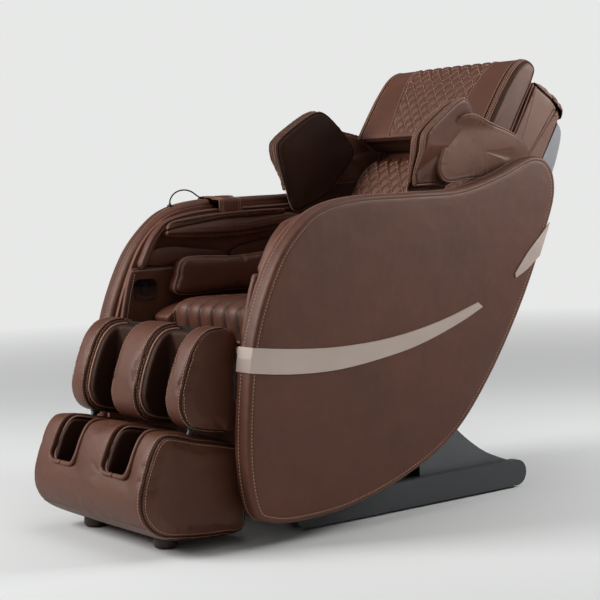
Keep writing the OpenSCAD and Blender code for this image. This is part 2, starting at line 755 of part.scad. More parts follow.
module air_pump() {
    color("#3a3b3d") translate([-150, -330, rail_z - 52]) {
        cube([110, 90, 52]);
        translate([55, 45, -10]) cylinder(h = 11, d = 40);
        translate([109, 20, 6]) cube([20, 50, 24]);
    }
}

// Gearmotor of the legrest, hung from the front of the seat frame
module legrest_motor() {
    color("#202123") difference() {
        union() {
            x_rod(-30, 30, leg_pivot, 28);
            translate([-30, leg_pivot.x, leg_pivot.y - 12]) cube([60, -340 - leg_pivot.x, 16]);
            x_rod(-56, 56, [-368, rail_z - 2], 46);
            translate([-24, -366, rail_z - 40]) cube([48, 26, 44]);
        }
        x_rod(-31, 31, leg_pivot, leg_pin_d + 2 * run_fit);
    }
}

// ---------- back, drawn upright: z up the back, y towards the rear ----------

local_pivot = let (d = back_pivot - hip_line)
    [d.x * cos(back_lean) - d.y * sin(back_lean), d.x * sin(back_lean) + d.y * cos(back_lean)];
local_eye = let (d = recline_eye - hip_line)
    [d.x * cos(back_lean) - d.y * sin(back_lean), d.x * sin(back_lean) + d.y * cos(back_lean)];

rack_low = 40;
rack_teeth = 38;
gear_pitch = PI * gear_m;
rack_line = pinion_y - gear_m * gear_z / 2;

module rack() {
    a = 0.8 * gear_m;
    b = 1.1 * gear_m;
    h = gear_pitch / 4 - 0.35;
    polygon(concat(
        [[back_rail_y + tube, rack_low - gear_pitch / 2]],
        [for (i = [0 : rack_teeth - 1]) let (z = rack_low + i * gear_pitch) each [
            [rack_line - b, z - h - b * tan(20)], [rack_line + a, z - h + a * tan(20)],
            [rack_line + a, z + h - a * tan(20)], [rack_line - b, z + h + b * tan(20)]
        ]],
        [[back_rail_y + tube, rack_low + (rack_teeth - 0.5) * gear_pitch]]
    ));
}

module back_rail() {
    difference() {
        translate([back_rail_x, back_rail_y, 0]) cube([tube, tube, back_h - 60]);
        translate([back_rail_x - 1, back_rail_y + tube_wall, -1])
            cube([tube - tube_wall + 1, tube - 2 * tube_wall, back_h]);
    }
}

module back_frame() {
    color("#2b2c2e") on_back() difference() {
        union() {
            both() back_rail();
            both() yz(back_rail_x - 6, back_rail_x + 14) rack();
            both() yz(back_rail_x + tube - plate_t, back_rail_x + tube) polygon([
                [local_pivot.x - 18, local_pivot.y - 18], [local_pivot.x + 18, local_pivot.y - 18],
                [back_rail_y + tube, 60], [back_rail_y, 60]
            ]);
            for (z = [12, back_h - 84]) translate([-back_rail_x - 2, back_rail_y + tube - 6, z])
                cube([2 * back_rail_x + 4, 6, 24]);
            for (s = [-1, 1]) yz(recline_x + s * (act_fork + 4) - 3, recline_x + s * (act_fork + 4) + 3) polygon([
                local_eye + [12, -12], [back_rail_y + tube, 40], [back_rail_y + tube - 6, 12],
                [local_pivot.x - 12, local_pivot.y], local_eye + [-12, -10]
            ]);
            translate([recline_x, local_eye.x, local_eye.y]) rotate([0, 90, 0])
                cylinder(h = 2 * act_fork + 14, d = act_pin_d, center = true);
            // hinge wire of the pillow, and the legs that hold it over the cushion's top edge
            x_rod(-150, 150, pillow_hem, 5);
            both() yz(147, 152) polygon(strip([pillow_hem, [pillow_hem.x, back_h - 3.2], [back_rail_y + 1.5, back_h - 3.2],
                [back_rail_y + 1.5, back_h - 72]], 5));
            // side brackets that carry the shell and the leather panels
            both() for (z = [120, back_h - 110]) translate([back_rail_x + tube, back_rail_y, z])
                cube([back_half - 12 - back_rail_x - tube, tube, 20]);
        }
        both() x_rod(back_rail_x + tube - plate_t - 1, back_rail_x + tube + 1, local_pivot, pivot_d - 4 + 2 * run_fit);
    }
}

shell_rear = open_curve([
    [back_d, 62], [back_d + 34, 74], [back_d + 66, 160], [back_d + 74, 300], [back_d + 60, back_h - 170],
    [back_d + 46, back_h - 90], [back_d + 28, back_h - 46], [back_d, back_h - 32]
], 3);

function crowned(x, p) = [
    for (q = p) [x, max(q.x, back_d - 8) + shell_crown * (1 - pow(x / back_half, 2)) * min(1, max(0, q.x - back_d) / 30), q.y]
];

module back_shell() {
    side = back_half - shell_wall;
    color("#5d6063") on_back() difference() {
        loft([for (s = [[-1, 14], [-0.98, 5], [-0.93, 0], [-0.6, 0], [-0.3, 0], [0, 0],
            [0.3, 0], [0.6, 0], [0.93, 0], [0.98, 5], [1, 14]])
            crowned(s[0] * back_half, [for (q = pushed(shell_rear, s[1])) [max(q.x, back_d + gap), q.y]])]);
        loft([for (s = [[-1, 12.5], [-0.98, 5], [-0.93, 0], [-0.6, 0], [-0.3, 0], [0, 0],
            [0.3, 0], [0.6, 0], [0.93, 0], [0.98, 5], [1, 12.5]])
            let (p = pushed(shell_rear, s[1] + shell_wall))
            crowned(s[0] * side, concat(p, [[back_d - 8, p[len(p) - 1].y], [back_d - 8, p[0].y]]))]);
        for (i = [0 : 8]) translate([-100, back_d + 30, 200 + i * 16]) cube([200, 120, 6]);
    }
}

module back_sides() {
    color("#8a5a45") on_back() both() yz(back_half - 12, back_half) polygon([
        [2, 40], [0, back_h - 22], [10, back_h - 4], [24, back_h], [back_d - 16, back_h],
        [back_d - 2, back_h - 24], [back_d, back_h - 150], [back_d, 120], [back_d - 30, 50], [60, 20]
    ]);
}

back_pad_profile = loop_curve([
    [-16, -22], [-40, 30], [-54, 140], [-54, 290], [-42, 376], [-16, 418], [-2, 446], [-1, 560], [4, back_h - 22],
    [20, back_h - 8], [30, back_h - 40], [30, 400], [30, 120], [30, 10], [10, -30]
], 2);

module back_pad() {
    w = back_half - 12 - gap;
    color("#6b3a2d") on_back() side_pad(back_pad_profile, [
        [-w, 7], [-w + 6, 2.5], [-w + 40, 0], [-150, 3], [-146, 0], [0, -3],
        [146, 0], [150, 3], [w - 40, 0], [w - 6, 2.5], [w, 7]
    ]);
}

pillow_low = 434;
pillow_profile = loop_curve([
    [-60, pillow_low], [-pillow_t, pillow_low + 12], [-pillow_t - 6, pillow_low + 70],
    [-pillow_t - 6, pillow_low + 150], [-pillow_t + 4, back_h - 4], [-60, back_h + 32], [-24, back_h + 30],
    [-12, back_h - 6], [-11, pillow_low + 120], [-11, pillow_low + 24], [-26, pillow_low + 2]
], 2);
// Hinge line of the pillow, along the hem tube at its top rear edge
pillow_hem = [-2, back_h + 24];

module pillow() {
    w = pillow_half;
    color("#6b3a2d") on_back() {
        side_pad(pillow_profile, [
            [-w, 18], [-w + 4, 9], [-w + 14, 3], [-w + 60, 0], [-120, -2], [0, -4],
            [120, -2], [w - 60, 0], [w - 14, 3], [w - 4, 9], [w, 18]
        ]);
        difference() {
            union() {
                x_rod(-144, 144, pillow_hem, 9);
                yz(-144, 144) polygon([[-40, 664], [pillow_hem.x, pillow_hem.y - 4], [pillow_hem.x, pillow_hem.y + 4],
                    [-40, 676]]);
            }
            x_rod(-145, 145, pillow_hem, 5 + 2 * run_fit);
        }
    }
}

module back_flap() {
    w = back_half + 2;
    color("#3c1f18") on_back() yz(-w, w) polygon([
        [6, back_h + gap], [30, back_h + 14], [70, back_h + 17], [110, back_h + 14],
        [back_d - 4, back_h + 4], [back_d + 6, back_h - 20], [back_d + 0.4, back_h - 26],
        [back_d - 14, back_h + gap]
    ]);
}

// Shoulder wings: three pads on one flared plane, the outer one seated on the back's side panel
wing_points = [
    [94, 940], [112, 966], [160, 1000], [220, 1034], [252, 1038], [274, 1022], [300, 990], [329, 940],
    [328, 910], [288, 862], [226, 800], [160, 770], [122, 760], [108, 780], [100, 822], [95, 880]
];
wing_inner = loop_curve(wing_points, 2);
wing_middle = loop_curve([for (q = wing_points) [q.x + 12, max(q.y + 4, 822)]], 2);
wing_outer = loop_curve([
    [178, 850], [176, 890], [198, 940], [228, 990], [274, 1000], [332, 986], [442, 954], [506, 920],
    [522, 896], [500, 868], [390, 838], [274, 832], [206, 828]
], 2);
wing_stack = 84;

function wing_face(q) = board_x - 72 + 0.213 * (334 - q.x) + 0.2 * (q.y - 927);

// Widest half width that passes between the sides while the back reclines
function wing_limit(q) = board_x - 1 + 1.35 * max(0, q.y - 968, ((q.y - 819) - 0.96 * (q.x - 100)) / 1.39 - 20);

// Flat outside of the outer pad, as far as the sides let it pass
function wing_out(q) = min(wing_limit(q), board_x - 1 + 0.35 * (q.y - 885) - 0.06 * (q.x - 178));

function wing_k(q) = min(1, (wing_limit(q) - wing_face(q)) / wing_stack);

// Room of the inner pad beside the armrest roll
function wing_inner_k(q) = min(wing_k(q), (roll_x - 1.4 + max(0, q.y - 820) - wing_face(q)) / (wing_stack / 3));

function wing_root(q) = let (d = q - hip_line, yl = d.x * cos(back_lean) - d.y * sin(back_lean))
    max(wing_face(q) + wing_stack * 2 / 3 * wing_k(q),
        back_half + (pillow_half + 1.6 - back_half) * min(1, max(0, 64 - yl) / 66));

module wing() {
    third = wing_stack / 3;
    loft([for (s = concat(soft_edge(0, third - 0.4, 9), [[third - 0.4, 44]]))
        [for (q = shrunk(wing_inner, s[1])) [wing_face(q) + s[0] * wing_inner_k(q), q.x, q.y]]], fan = true);
    loft([for (s = concat(soft_edge(third, 2 * third - 0.4, 8), [[2 * third - 0.4, 46]]))
        [for (q = shrunk(wing_middle, s[1])) [wing_face(q) + s[0] * wing_k(q), q.x, q.y]]], fan = true);
    loft([for (s = [[0, 56], [0, 30], [0, 9], [0.12, 3], [0.35, 0], [0.65, 0], [0.88, 3], [1, 9], [1, 34], [1, 62]])
        [for (q = shrunk(wing_outer, s[1])) let (root = wing_root(q))
            [root + s[0] * max(5, wing_out(q) - root), q.x, q.y]]], fan = true);
}
module wing_l() { color("#6b3a2d") wing(); }
module wing_r() { color("#6b3a2d") mirror([1, 0, 0]) wing(); }

// ---------- massage carriage ----------

cheek_x = 112;
arm_axle = [back_rail_y + 34, carriage_z + 40];

module carriage_frame() {
    color("#6c7073") on_back() difference() {
        union() {
            both() yz(cheek_x, cheek_x + 6) polygon([
                [back_rail_y + 8, carriage_z - 52], [pinion_y + 46, carriage_z - 60],
                [pinion_y + 46, carriage_z + 60], [back_rail_y + 8, carriage_z + 66]
            ]);
            translate([-cheek_x - 2, pinion_y + 40, carriage_z - 60]) cube([2 * cheek_x + 4, 6, 120]);
            both() for (z = [-42, 48]) translate([cheek_x + 4, back_rail_y + tube_wall + 0.5, carriage_z + z - 10])
                cube([back_rail_x + tube - tube_wall - 1 - cheek_x - 4, tube - 2 * tube_wall - 1, 20]);
            x_rod(-cheek_x - 2, cheek_x + 2, arm_axle, 14);
        }
        x_rod(-cheek_x - 10, cheek_x + 10, [pinion_y, carriage_z], 12 + 2 * run_fit);
    }
}

module carriage_motor() {
    color("#202123") on_back() {
        translate([-60, pinion_y + 12, carriage_z - 46]) cube([60, 28, 92]);
        translate([0, pinion_y + 17, carriage_z + 22]) rotate([0, 90, 0]) cylinder(h = 84, d = 40);
    }
}

// Pinion tooth flanks thinned towards the tip, with backlash
module pinion(z) {
    r = gear_m * z / 2;
    a = 0.8 * gear_m;
    b = 1.1 * gear_m;
    w = gear_pitch / 4 - 0.35;
    circle(r - b + 0.2);
    for (i = [0 : z - 1]) rotate(i * 360 / z + 180 / z) polygon([
        [r - b - 1, -w - 1.0], [r - b * 0.4, -w * 1.12], [r, -w], [r + a * 0.6, -w * 0.72], [r + a, -w * 0.45],
        [r + a, w * 0.45], [r + a * 0.6, w * 0.72], [r, w], [r - b * 0.4, w * 1.12], [r - b - 1, w + 1.0]
    ]);
}

// Angle that sets a tooth gap on the rack tooth nearest to the rest height
pinion_phase = ((carriage_z - rack_low) / gear_pitch - round((carriage_z - rack_low) / gear_pitch)) * 360 / gear_z;

module pinion_shaft() {
    color("#c9cbcd") on_back() {
        x_rod(-back_rail_x - 14, back_rail_x + 14, [pinion_y, carriage_z], 12);
        both() translate([back_rail_x - 5, pinion_y, carriage_z]) rotate([90, 0, 90])
            linear_extrude(16) rotate(180 + pinion_phase) pinion(gear_z);
    }
}

roller_at = [[back_rail_y + 20, carriage_z + 96], [back_rail_y + 20, carriage_z - 14]];

module roller_arms() {
    color("#3a3b3d") on_back() both() difference() {
        union() {
            hull() for (p = [arm_axle, roller_at[0]]) x_rod(58, 68, p, 26);
            hull() for (p = [arm_axle, roller_at[1]]) x_rod(58, 68, p, 26);
            x_rod(52, 74, arm_axle, 30);
            for (p = roller_at) x_rod(58 - roller_w - 4, 60, p, 12);
        }
        x_rod(50, 76, arm_axle, 14 + 2 * run_fit);
    }
}

module rollers(at) {
    both() translate([58 - roller_w - 2, at.x, at.y]) rotate([0, 90, 0]) rotate_extrude() polygon(concat(
        [[6 + run_fit, 0]],
        [for (i = [0 : 8]) let (a = 180 * i / 8)
            [roller_d / 2 - 5 + 5 * sin(a), 2 + (roller_w - 4) * i / 8]],
        [[6 + run_fit, roller_w]]
    ));
}
module upper_rollers() { color("#d8d2c4") on_back() rollers(roller_at[0]); }
module lower_rollers() { color("#d8d2c4") on_back() rollers(roller_at[1]); }

// ---------- legrest ----------

module on_slide() {
    translate([0, rod_start.x, rod_start.y]) rotate([-leg_lean, 0, 0]) children();
}

calf_plate_y = -470;

calf_lugs = [[-551, 282], [-498, 388]];   // front end and underside of the arms that hold the guide tubes

module calf_frame() {
    color("#2b2c2e") difference() {
        union() {
            translate([-186, calf_plate_y, 276]) cube([372, plate_t, 228]);
            both() for (x = [84, 160]) yz(x, x + 6) polygon([
                [calf_plate_y + 2, leg_pivot.y - 40], [leg_pivot.x, leg_pivot.y - 14], [leg_pivot.x + 12, leg_pivot.y],
                [leg_pivot.x, leg_pivot.y + 14], [calf_plate_y + 2, leg_pivot.y + 40]
            ]);
            x_rod(-166, 166, leg_pivot, leg_pin_d);
            both() on_slide() translate([rod_x, 0, 16]) cylinder(h = 160, d = rod_d + 8);
            both() for (q = calf_lugs) {
                translate([192, q.x, q.y]) cube([rod_x - 192, calf_plate_y + plate_t - q.x, 14]);
                translate([180, calf_plate_y, q.y]) cube([20, plate_t, 14]);
            }
        }
        both() on_slide() translate([rod_x, 0, 10]) cylinder(h = 180, d = rod_d + 2 * run_fit);
    }
}

module calf_blocks() {
    bore = rod_d + 8 + 2 * gap;
    color("#6b3a2d") {
        side_pad(calf_outline, soft_edge(-calf_mid, calf_mid, 12));
        both() difference() {
            side_pad(calf_outer_outline, soft_edge(calf_half - calf_outer, calf_half, 12));
            on_slide() translate([rod_x, 0, -40]) cylinder(h = 240, d = bore);
            for (q = calf_lugs) translate([calf_half - calf_outer - 1, q.x - gap, q.y - gap])
                cube([rod_x + 1 - calf_half + calf_outer, calf_plate_y + plate_t - q.x + 2 * gap, 14 + 2 * gap]);
        }
    }
}

module calf_liners() {
    x0 = calf_mid + gap;
    x1 = calf_half - calf_outer - gap;
    rear = calf_plate_y - gap;
    front = pushed(calf_front, 16);
    color("#3c1f18") both() difference() {
        yz(x0, x1) polygon(concat(front, [[rear, front[len(front) - 1].y], [rear, front[0].y]]));
        yz(x0 + liner_t, x1 - liner_t) polygon([
            [-700, 200], [-700, 600], [-500, 600], [-508, 480], [-512, 400], [-504, 200]
        ]);
    }
}

well_x0 = calf_mid + 6;
well_x1 = calf_half - calf_outer - 4;

module foot_shell() {
    color("#6b3a2d") difference() {
        side_pad(foot_outline, [
            [-foot_half, 14], [-foot_half + 5, 5], [-foot_half + 18, 0],
            [foot_half - 18, 0], [foot_half - 5, 5], [foot_half, 14]
        ]);
        both() yz(well_x0, well_x1) polygon(well_outline);
        both() on_slide() translate([rod_x, 0, -70]) cylinder(h = 140, d = rod_d + 2 * gap);
        // tunnel of the sole rollers
        x_rod(-well_x1 - 2, well_x1 + 2, sole_at, 44);
        x_rod(-well_x1 - 10, well_x1 + 10, sole_at, 12 + 2 * run_fit);
    }
}

module foot_liners() {
    color("#3c1f18") both() difference() {
        yz(well_x0 + gap, well_x1 - gap) intersection() {
            polygon(inset(well_outline, gap));
            polygon(inset(foot_outline, 8));
        }
        yz(well_x0 + liner_t, well_x1 - liner_t) translate([-4, liner_t]) polygon(well_outline);
        x_rod(well_x0 + liner_t, well_x1 - liner_t, sole_at, 46);
    }
}

module foot_rods() {
    color("#c9cbcd") both() on_slide() translate([rod_x, 0, -70]) cylinder(h = 240, d = rod_d);
}

module foot_feet() {
    color("#2a1612") both() translate([165, -604, 0]) rotate_extrude() polygon([
        [0, 0], [20, 0], [25, 2], [28, 7], [28, 22], [26, 27], [20, 34], [0, 34]
    ]);
}

sole_at = [-600, 86];

module sole_rollers() {
    color("#3a3b3d") {
        x_rod(-well_x1 - 8, well_x1 + 8, sole_at, 12);
        both() for (x = [well_x0 + liner_t + 8 : 20 : well_x1 - liner_t - 16])
            translate([x, sole_at.x, sole_at.y]) rotate([0, 90, 0]) rotate_extrude()
                polygon([[5, 0], [16, 0], [20, 4], [20, 10], [16, 14], [5, 14]]);
    }
}

base_frame();
base_covers();
base_apron();
base_feet();
wheel_l();
wheel_r();
control_box();
power_inlet();
power_switch();
tilt_actuator();
tilt_rod();
seat_frame();
seat_pan();
seat_cushion();
side_cover_l();
side_cover_r();
side_board_l();
side_board_r();
trim_l();
trim_r();
arm_roll_l();
arm_roll_r();
inner_block_l();
inner_block_r();
hip_pad_l();
hip_pad_r();
arm_pads_l();
arm_pads_r();
control_bezel();
control_knob();
remote_strap();
cable_gland();
remote_cable();
air_pump();
legrest_motor();
recline_actuator();
recline_rod();
back_frame();
back_shell();
back_sides();
back_pad();
back_flap();
pillow();
wing_l();
wing_r();
carriage_frame();
carriage_motor();
pinion_shaft();
roller_arms();
upper_rollers();
lower_rollers();
calf_frame();
calf_blocks();
calf_liners();
foot_shell();
foot_liners();
foot_rods();
foot_feet();
sole_rollers();
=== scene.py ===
# %% [markdown]
# # Dressing a massage chair
# The hard skeleton of this chair was drawn first, as exact solids in a fixed frame: X is the sitter's left,
# Y runs to the rear, Z is up, and the floor is zero. This lesson dresses that skeleton: leather, thread,
# piping, brushed metal and moulded plastic. The solids are never moved, so every piece that is made here
# is drawn from the same measurements, in millimetres, and turned into metres at the last moment.

# %% Load the frame
import math

import bmesh
import bpy
import numpy as np
from mathutils import Matrix, Vector, kdtree
from mathutils.bvhtree import BVHTree


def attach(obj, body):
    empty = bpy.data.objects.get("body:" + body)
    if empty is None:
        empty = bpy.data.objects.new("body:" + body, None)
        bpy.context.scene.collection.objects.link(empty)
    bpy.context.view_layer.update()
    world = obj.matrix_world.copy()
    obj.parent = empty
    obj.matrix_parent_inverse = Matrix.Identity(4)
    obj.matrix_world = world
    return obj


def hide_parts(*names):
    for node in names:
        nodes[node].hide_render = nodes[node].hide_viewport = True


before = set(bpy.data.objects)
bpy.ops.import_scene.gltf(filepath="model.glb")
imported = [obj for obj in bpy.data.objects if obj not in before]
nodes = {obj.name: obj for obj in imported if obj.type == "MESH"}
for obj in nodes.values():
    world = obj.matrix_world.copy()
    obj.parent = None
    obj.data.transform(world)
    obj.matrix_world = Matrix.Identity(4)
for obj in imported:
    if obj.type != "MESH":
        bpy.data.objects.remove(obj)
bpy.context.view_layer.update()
MM = 0.001
TINY = 1e-9  # keeps a division from meeting zero

# %% [markdown]
# ## Camera
# The chair is seen from its front left corner, a little above the armrest, with a long lens that keeps the
# sides nearly parallel. A camera is placed by its position and by two directions: where it looks, and
# which way is up in the picture. Building the rotation from those two is easier to read than three angles.

# %% Place the camera
look_azimuth, look_down, look_roll = math.radians(53), math.radians(4.46), math.radians(-2.12)
forward = Vector((
    -math.sin(look_azimuth) * math.cos(look_down),
    math.cos(look_azimuth) * math.cos(look_down),
    -math.sin(look_down),
))
level_right = Vector((math.cos(look_azimuth), math.sin(look_azimuth), 0))
level_up = level_right.cross(forward)
picture_right = math.cos(look_roll) * level_right + math.sin(look_roll) * level_up
picture_up = math.cos(look_roll) * level_up - math.sin(look_roll) * level_right
camera_place, long_lens, film_width = (3.239, -2.499, 0.851), 93.24, 36
camera_data = bpy.data.cameras.new("camera")
camera_data.lens, camera_data.sensor_width = long_lens, film_width
camera = bpy.data.objects.new("camera", camera_data)
camera.matrix_world = Matrix.Translation(camera_place) @ Matrix(
    (picture_right, picture_up, -forward)
).transposed().to_4x4()
bpy.context.scene.collection.objects.link(camera)
bpy.context.scene.camera = camera
print("camera looks along", tuple(round(v, 3) for v in forward))

# %% [markdown]
# ## Smooth outlines
# An upholsterer cuts panels round templates, and these outlines are such templates: a few points that a
# smooth curve passes through. A Catmull-Rom curve is used because it touches every point it is given, so
# a measured edge stays where it was measured. The curve is then walked at even steps, because evenly
# spaced points give faces of one size, and grain, folds and stitches then come out even too.

# %% Curves through points
def arc(points, closed, steps=8):
    """The smooth curve through the points, with this many steps between neighbours."""
    p = np.asarray(points, float)
    n = len(p)
    t = (np.arange(steps) / steps)[:, None]
    parts = []
    for i in range(n if closed else n - 1):
        if closed:
            a, b, c, d = (p[(i + k) % n] for k in (-1, 0, 1, 2))
        else:
            a, b, c, d = p[max(i - 1, 0)], p[i], p[i + 1], p[min(i + 2, n - 1)]
        parts.append(0.5 * (2 * b + (c - a) * t + (2 * a - 5 * b + 4 * c - d) * t**2
                            + (3 * b - a - 3 * c + d) * t**3))
    if not closed:
        parts.append(p[-1:])
    return np.concatenate(parts)


def even(points, step, closed):
    """The same line, walked at even steps."""
    p = np.asarray(points, float)
    if closed:
        p = np.concatenate([p, p[:1]])
    run = np.concatenate([[0], np.cumsum(np.linalg.norm(np.diff(p, axis=0), axis=1))])
    count = max(3, int(round(run[-1] / step)))
    at = np.linspace(0, run[-1], count + 1)
    if closed:
        at = at[:-1]
    return np.stack([np.interp(at, run, p[:, k]) for k in range(p.shape[1])], axis=1)


def anticlockwise(q):
    """The same loop, turned round where it runs clockwise."""
    area = np.sum(q[:, 0] * np.roll(q[:, 1], -1) - np.roll(q[:, 0], -1) * q[:, 1])
    return q if area > 0 else q[::-1]


def loop(points, step=6):
    """An even closed loop through the points, anticlockwise."""
    return anticlockwise(even(arc(points, True), step, True))


def path(points, step=6):
    """An even open line through the points."""
    return even(arc(points, False), step, False)


def square_to(q):
    """For each point of an open line in a plane, the direction square to the line."""
    t = np.gradient(q, axis=0)
    return np.column_stack([-t[:, 1], t[:, 0]]) / np.linalg.norm(t, axis=1, keepdims=True)


def inwards(q):
    """For each point of a loop the direction square to the loop, inwards."""
    t = np.roll(q, -1, axis=0) - np.roll(q, 1, axis=0)
    t = t / np.maximum(np.linalg.norm(t, axis=1, keepdims=True), TINY)
    return np.stack([-t[:, 1], t[:, 0]], axis=1)


def shrunk(q, distance):
    """Each point of a loop moved towards the middle of the loop."""
    c = q.mean(axis=0)
    d = c - q
    return q + distance * d / np.linalg.norm(d, axis=1, keepdims=True)


def at_x(x, q):
    """A line in Y-Z as points in space, at this x."""
    return np.column_stack([np.broadcast_to(x, (len(q),)), q[:, 0], q[:, 1]])


def at_y(y, q):
    """A line in X-Z as points in space, at this y."""
    return np.column_stack([q[:, 0], np.broadcast_to(y, (len(q),)), q[:, 1]])


# %% [markdown]
# The back leans 33 degrees, so its pieces are drawn upright, with z up the back and y towards the rear, and
# then turned about the hip line. The turn is two lines of arithmetic, which also works backwards.

# %% Up the back
HIP, LEAN = (208.0, 540.0), math.radians(33)
COS, SIN = math.cos(LEAN), math.sin(LEAN)


def on_back(points):
    """From the upright drawing of the back to its place in the frame."""
    p = np.asarray(points, float)
    return np.column_stack([p[:, 0], HIP[0] + COS * p[:, 1] + SIN * p[:, 2],
                            HIP[1] - SIN * p[:, 1] + COS * p[:, 2]])


def up_back(points):
    """The reverse: where a point of the frame lies on the upright drawing of the back."""
    p = np.asarray(points, float)
    y, z = p[:, 1] - HIP[0], p[:, 2] - HIP[1]
    return np.column_stack([p[:, 0], COS * y - SIN * z, SIN * y + COS * z])


# %% [markdown]
# ## Meshes from rings
# Most upholstered pieces are a stack of rings: the outline of the template, drawn again and again across the
# thickness of the pad and pulled in where the leather turns over the edge. The two ends are closed by
# smaller and smaller rings rather than by one big face, so that a cushion can be crowned and creased there.

# %% Build, read and write a mesh
def new_piece(name, points, faces):
    """A smooth object from points in millimetres, with doubled points merged."""
    mesh = bpy.data.meshes.new(name)
    mesh.from_pydata((np.asarray(points) * MM).tolist(), [], faces)
    work = bmesh.new()
    work.from_mesh(mesh)
    bmesh.ops.remove_doubles(work, verts=work.verts, dist=1e-6)
    bmesh.ops.recalc_face_normals(work, faces=work.faces)
    work.to_mesh(mesh)
    work.free()
    mesh.shade_smooth()
    piece = bpy.data.objects.new(name, mesh)
    bpy.context.scene.collection.objects.link(piece)
    return piece


def points_of(piece):
    """Every vertex, in millimetres."""
    flat = np.empty(len(piece.data.vertices) * 3, np.float32)
    piece.data.vertices.foreach_get("co", flat)
    return flat.reshape(-1, 3).astype(float) / MM


def normals_of(piece):
    """The direction of the skin at every vertex."""
    flat = np.empty(len(piece.data.vertices) * 3, np.float32)
    piece.data.vertex_normals.foreach_get("vector", flat)
    return flat.reshape(-1, 3).astype(float)


def move(piece, points):
    """Put every vertex at its new point."""
    piece.data.vertices.foreach_set("co", (np.asarray(points) * MM).astype(np.float32).ravel())
    piece.data.update()
    return piece


def ringed(name, rings, inner=5, crown=(0.0, 0.0)):
    """A closed skin over rings of equally many points; crown lifts the middle of the first and last end."""
    rings = [np.asarray(r, float) for r in rings]
    for end, lift, axis in ((0, crown[0], rings[0].mean(0) - rings[min(2, len(rings) - 1)].mean(0)),
                            (-1, crown[1], rings[-1].mean(0) - rings[-3 if len(rings) > 2 else 0].mean(0))):
        edge = rings[end]
        middle = edge.mean(axis=0)
        axis = axis / max(np.linalg.norm(axis), TINY)
        extra = []
        for k in range(1, inner + 1):
            s = 1 - k / (inner + 0.6)
            extra.append(middle + (edge - middle) * s + axis * lift * (1 - s * s))
        if end == 0:
            rings = extra[::-1] + rings
        else:
            rings = rings + extra
    n = len(rings[0])
    points = np.concatenate(rings + [[rings[0].mean(0)], [rings[-1].mean(0)]])
    faces = []
    for j in range(len(rings) - 1):
        a, b = j * n, (j + 1) * n
        faces += [(a + i, b + i, b + (i + 1) % n, a + (i + 1) % n) for i in range(n)]
    last, first_mid = (len(rings) - 1) * n, len(rings) * n
    faces += [(i, (i + 1) % n, first_mid) for i in range(n)]
    faces += [(last + (i + 1) % n, last + i, first_mid + 1) for i in range(n)]
    return new_piece(name, points, faces)


def finished(piece, material, body, *stands_for, fill=None):
    """Give a piece its material and its body, and hide the parts it stands for."""
    piece.data.materials.clear()
    piece.data.materials.append(material)
    if stands_for:
        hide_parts(*stands_for)
    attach(piece, body)
    return piece


# %% [markdown]
# ## Soft pieces from hard ones
# A few pads have pockets and wells that are awkward to draw as rings. For those the solid itself is copied,
# rebuilt as an even skin of small squares, and relaxed until its edges are round like stuffed leather.

# %% Copy a solid as a soft skin
def applied(piece):
    """Apply the piece's modifiers."""
    made = bpy.data.meshes.new_from_object(
        piece.evaluated_get(bpy.context.evaluated_depsgraph_get()))
    piece.modifiers.clear()
    piece.data = made
    piece.data.shade_smooth()
    return piece


def soft_copy(node, name, voxel=5.0, rounds=8, swell=1.5):
    """A node's solid as an even skin, relaxed and then swollen a little."""
    mesh = nodes[node].data.copy()
    piece = bpy.data.objects.new(name, mesh)
    bpy.context.scene.collection.objects.link(piece)
    remesh = piece.modifiers.new("skin", "REMESH")
    remesh.mode, remesh.voxel_size = "VOXEL", voxel * MM
    smooth = piece.modifiers.new("relax", "SMOOTH")
    smooth.factor, smooth.iterations = 0.5, rounds
    applied(piece)
    move(piece, points_of(piece) + swell * normals_of(piece))
    return piece


def refined(piece, levels=1):
    """Divide every face, which rounds the skin further."""
    divide = piece.modifiers.new("divide", "SUBSURF")
    divide.levels = divide.render_levels = levels
    return applied(piece)


# %% [markdown]
# ## Stuffing by simulation
# A sewn pad is a flat bag blown up by its filling. The cloth solver does the same: the skin is let loose
# for up to twenty steps with a little pressure inside and no gravity. It finds the dimples and pulls that
# are tedious to sculpt. Each point may only move a few millimetres, so the pad still fits its place.

# %% Let a pad fill out
def stuffed(piece, pressure=4.0, cap=8.0, steps=20):
    """Fill a piece by cloth simulation; no point moves further than cap millimetres."""
    before = points_of(piece)
    cloth = piece.modifiers.new("stuffing", "CLOTH")
    cloth.settings.quality = 4
    cloth.settings.mass = 0.3
    cloth.settings.tension_stiffness = cloth.settings.compression_stiffness = 15
    cloth.settings.bending_stiffness = 0.6
    cloth.settings.use_pressure = True
    cloth.settings.uniform_pressure_force = pressure
    cloth.settings.effector_weights.gravity = 0
    cloth.collision_settings.use_collision = False
    cloth.point_cache.frame_start, cloth.point_cache.frame_end = 1, steps
    scene = bpy.context.scene
    for step in range(1, steps + 1):
        scene.frame_set(step)
    applied(piece)
    scene.frame_set(1)
    moved = points_of(piece) - before
    far = np.linalg.norm(moved, axis=1, keepdims=True)
    move(piece, before + moved * np.minimum(1, cap / np.maximum(far, TINY)))
    print(piece.name, "filled out by", round(float(far.mean()), 2), "mm on average")
    return refined(piece)


# %% [markdown]
# ## Seams, thread and piping
# A seam is where two panels meet, so the leather dips along it and bulges on both sides, and where it
# is gathered it puckers. The dip is pressed into the skin, since a painted line has no shadow. The thread is
# real geometry, one small bead for each stitch, because the pale stitching is what draws this chair's lines.

# %% Press a seam into the skin
RIPPLE_RUN = 6000
ripples = {}


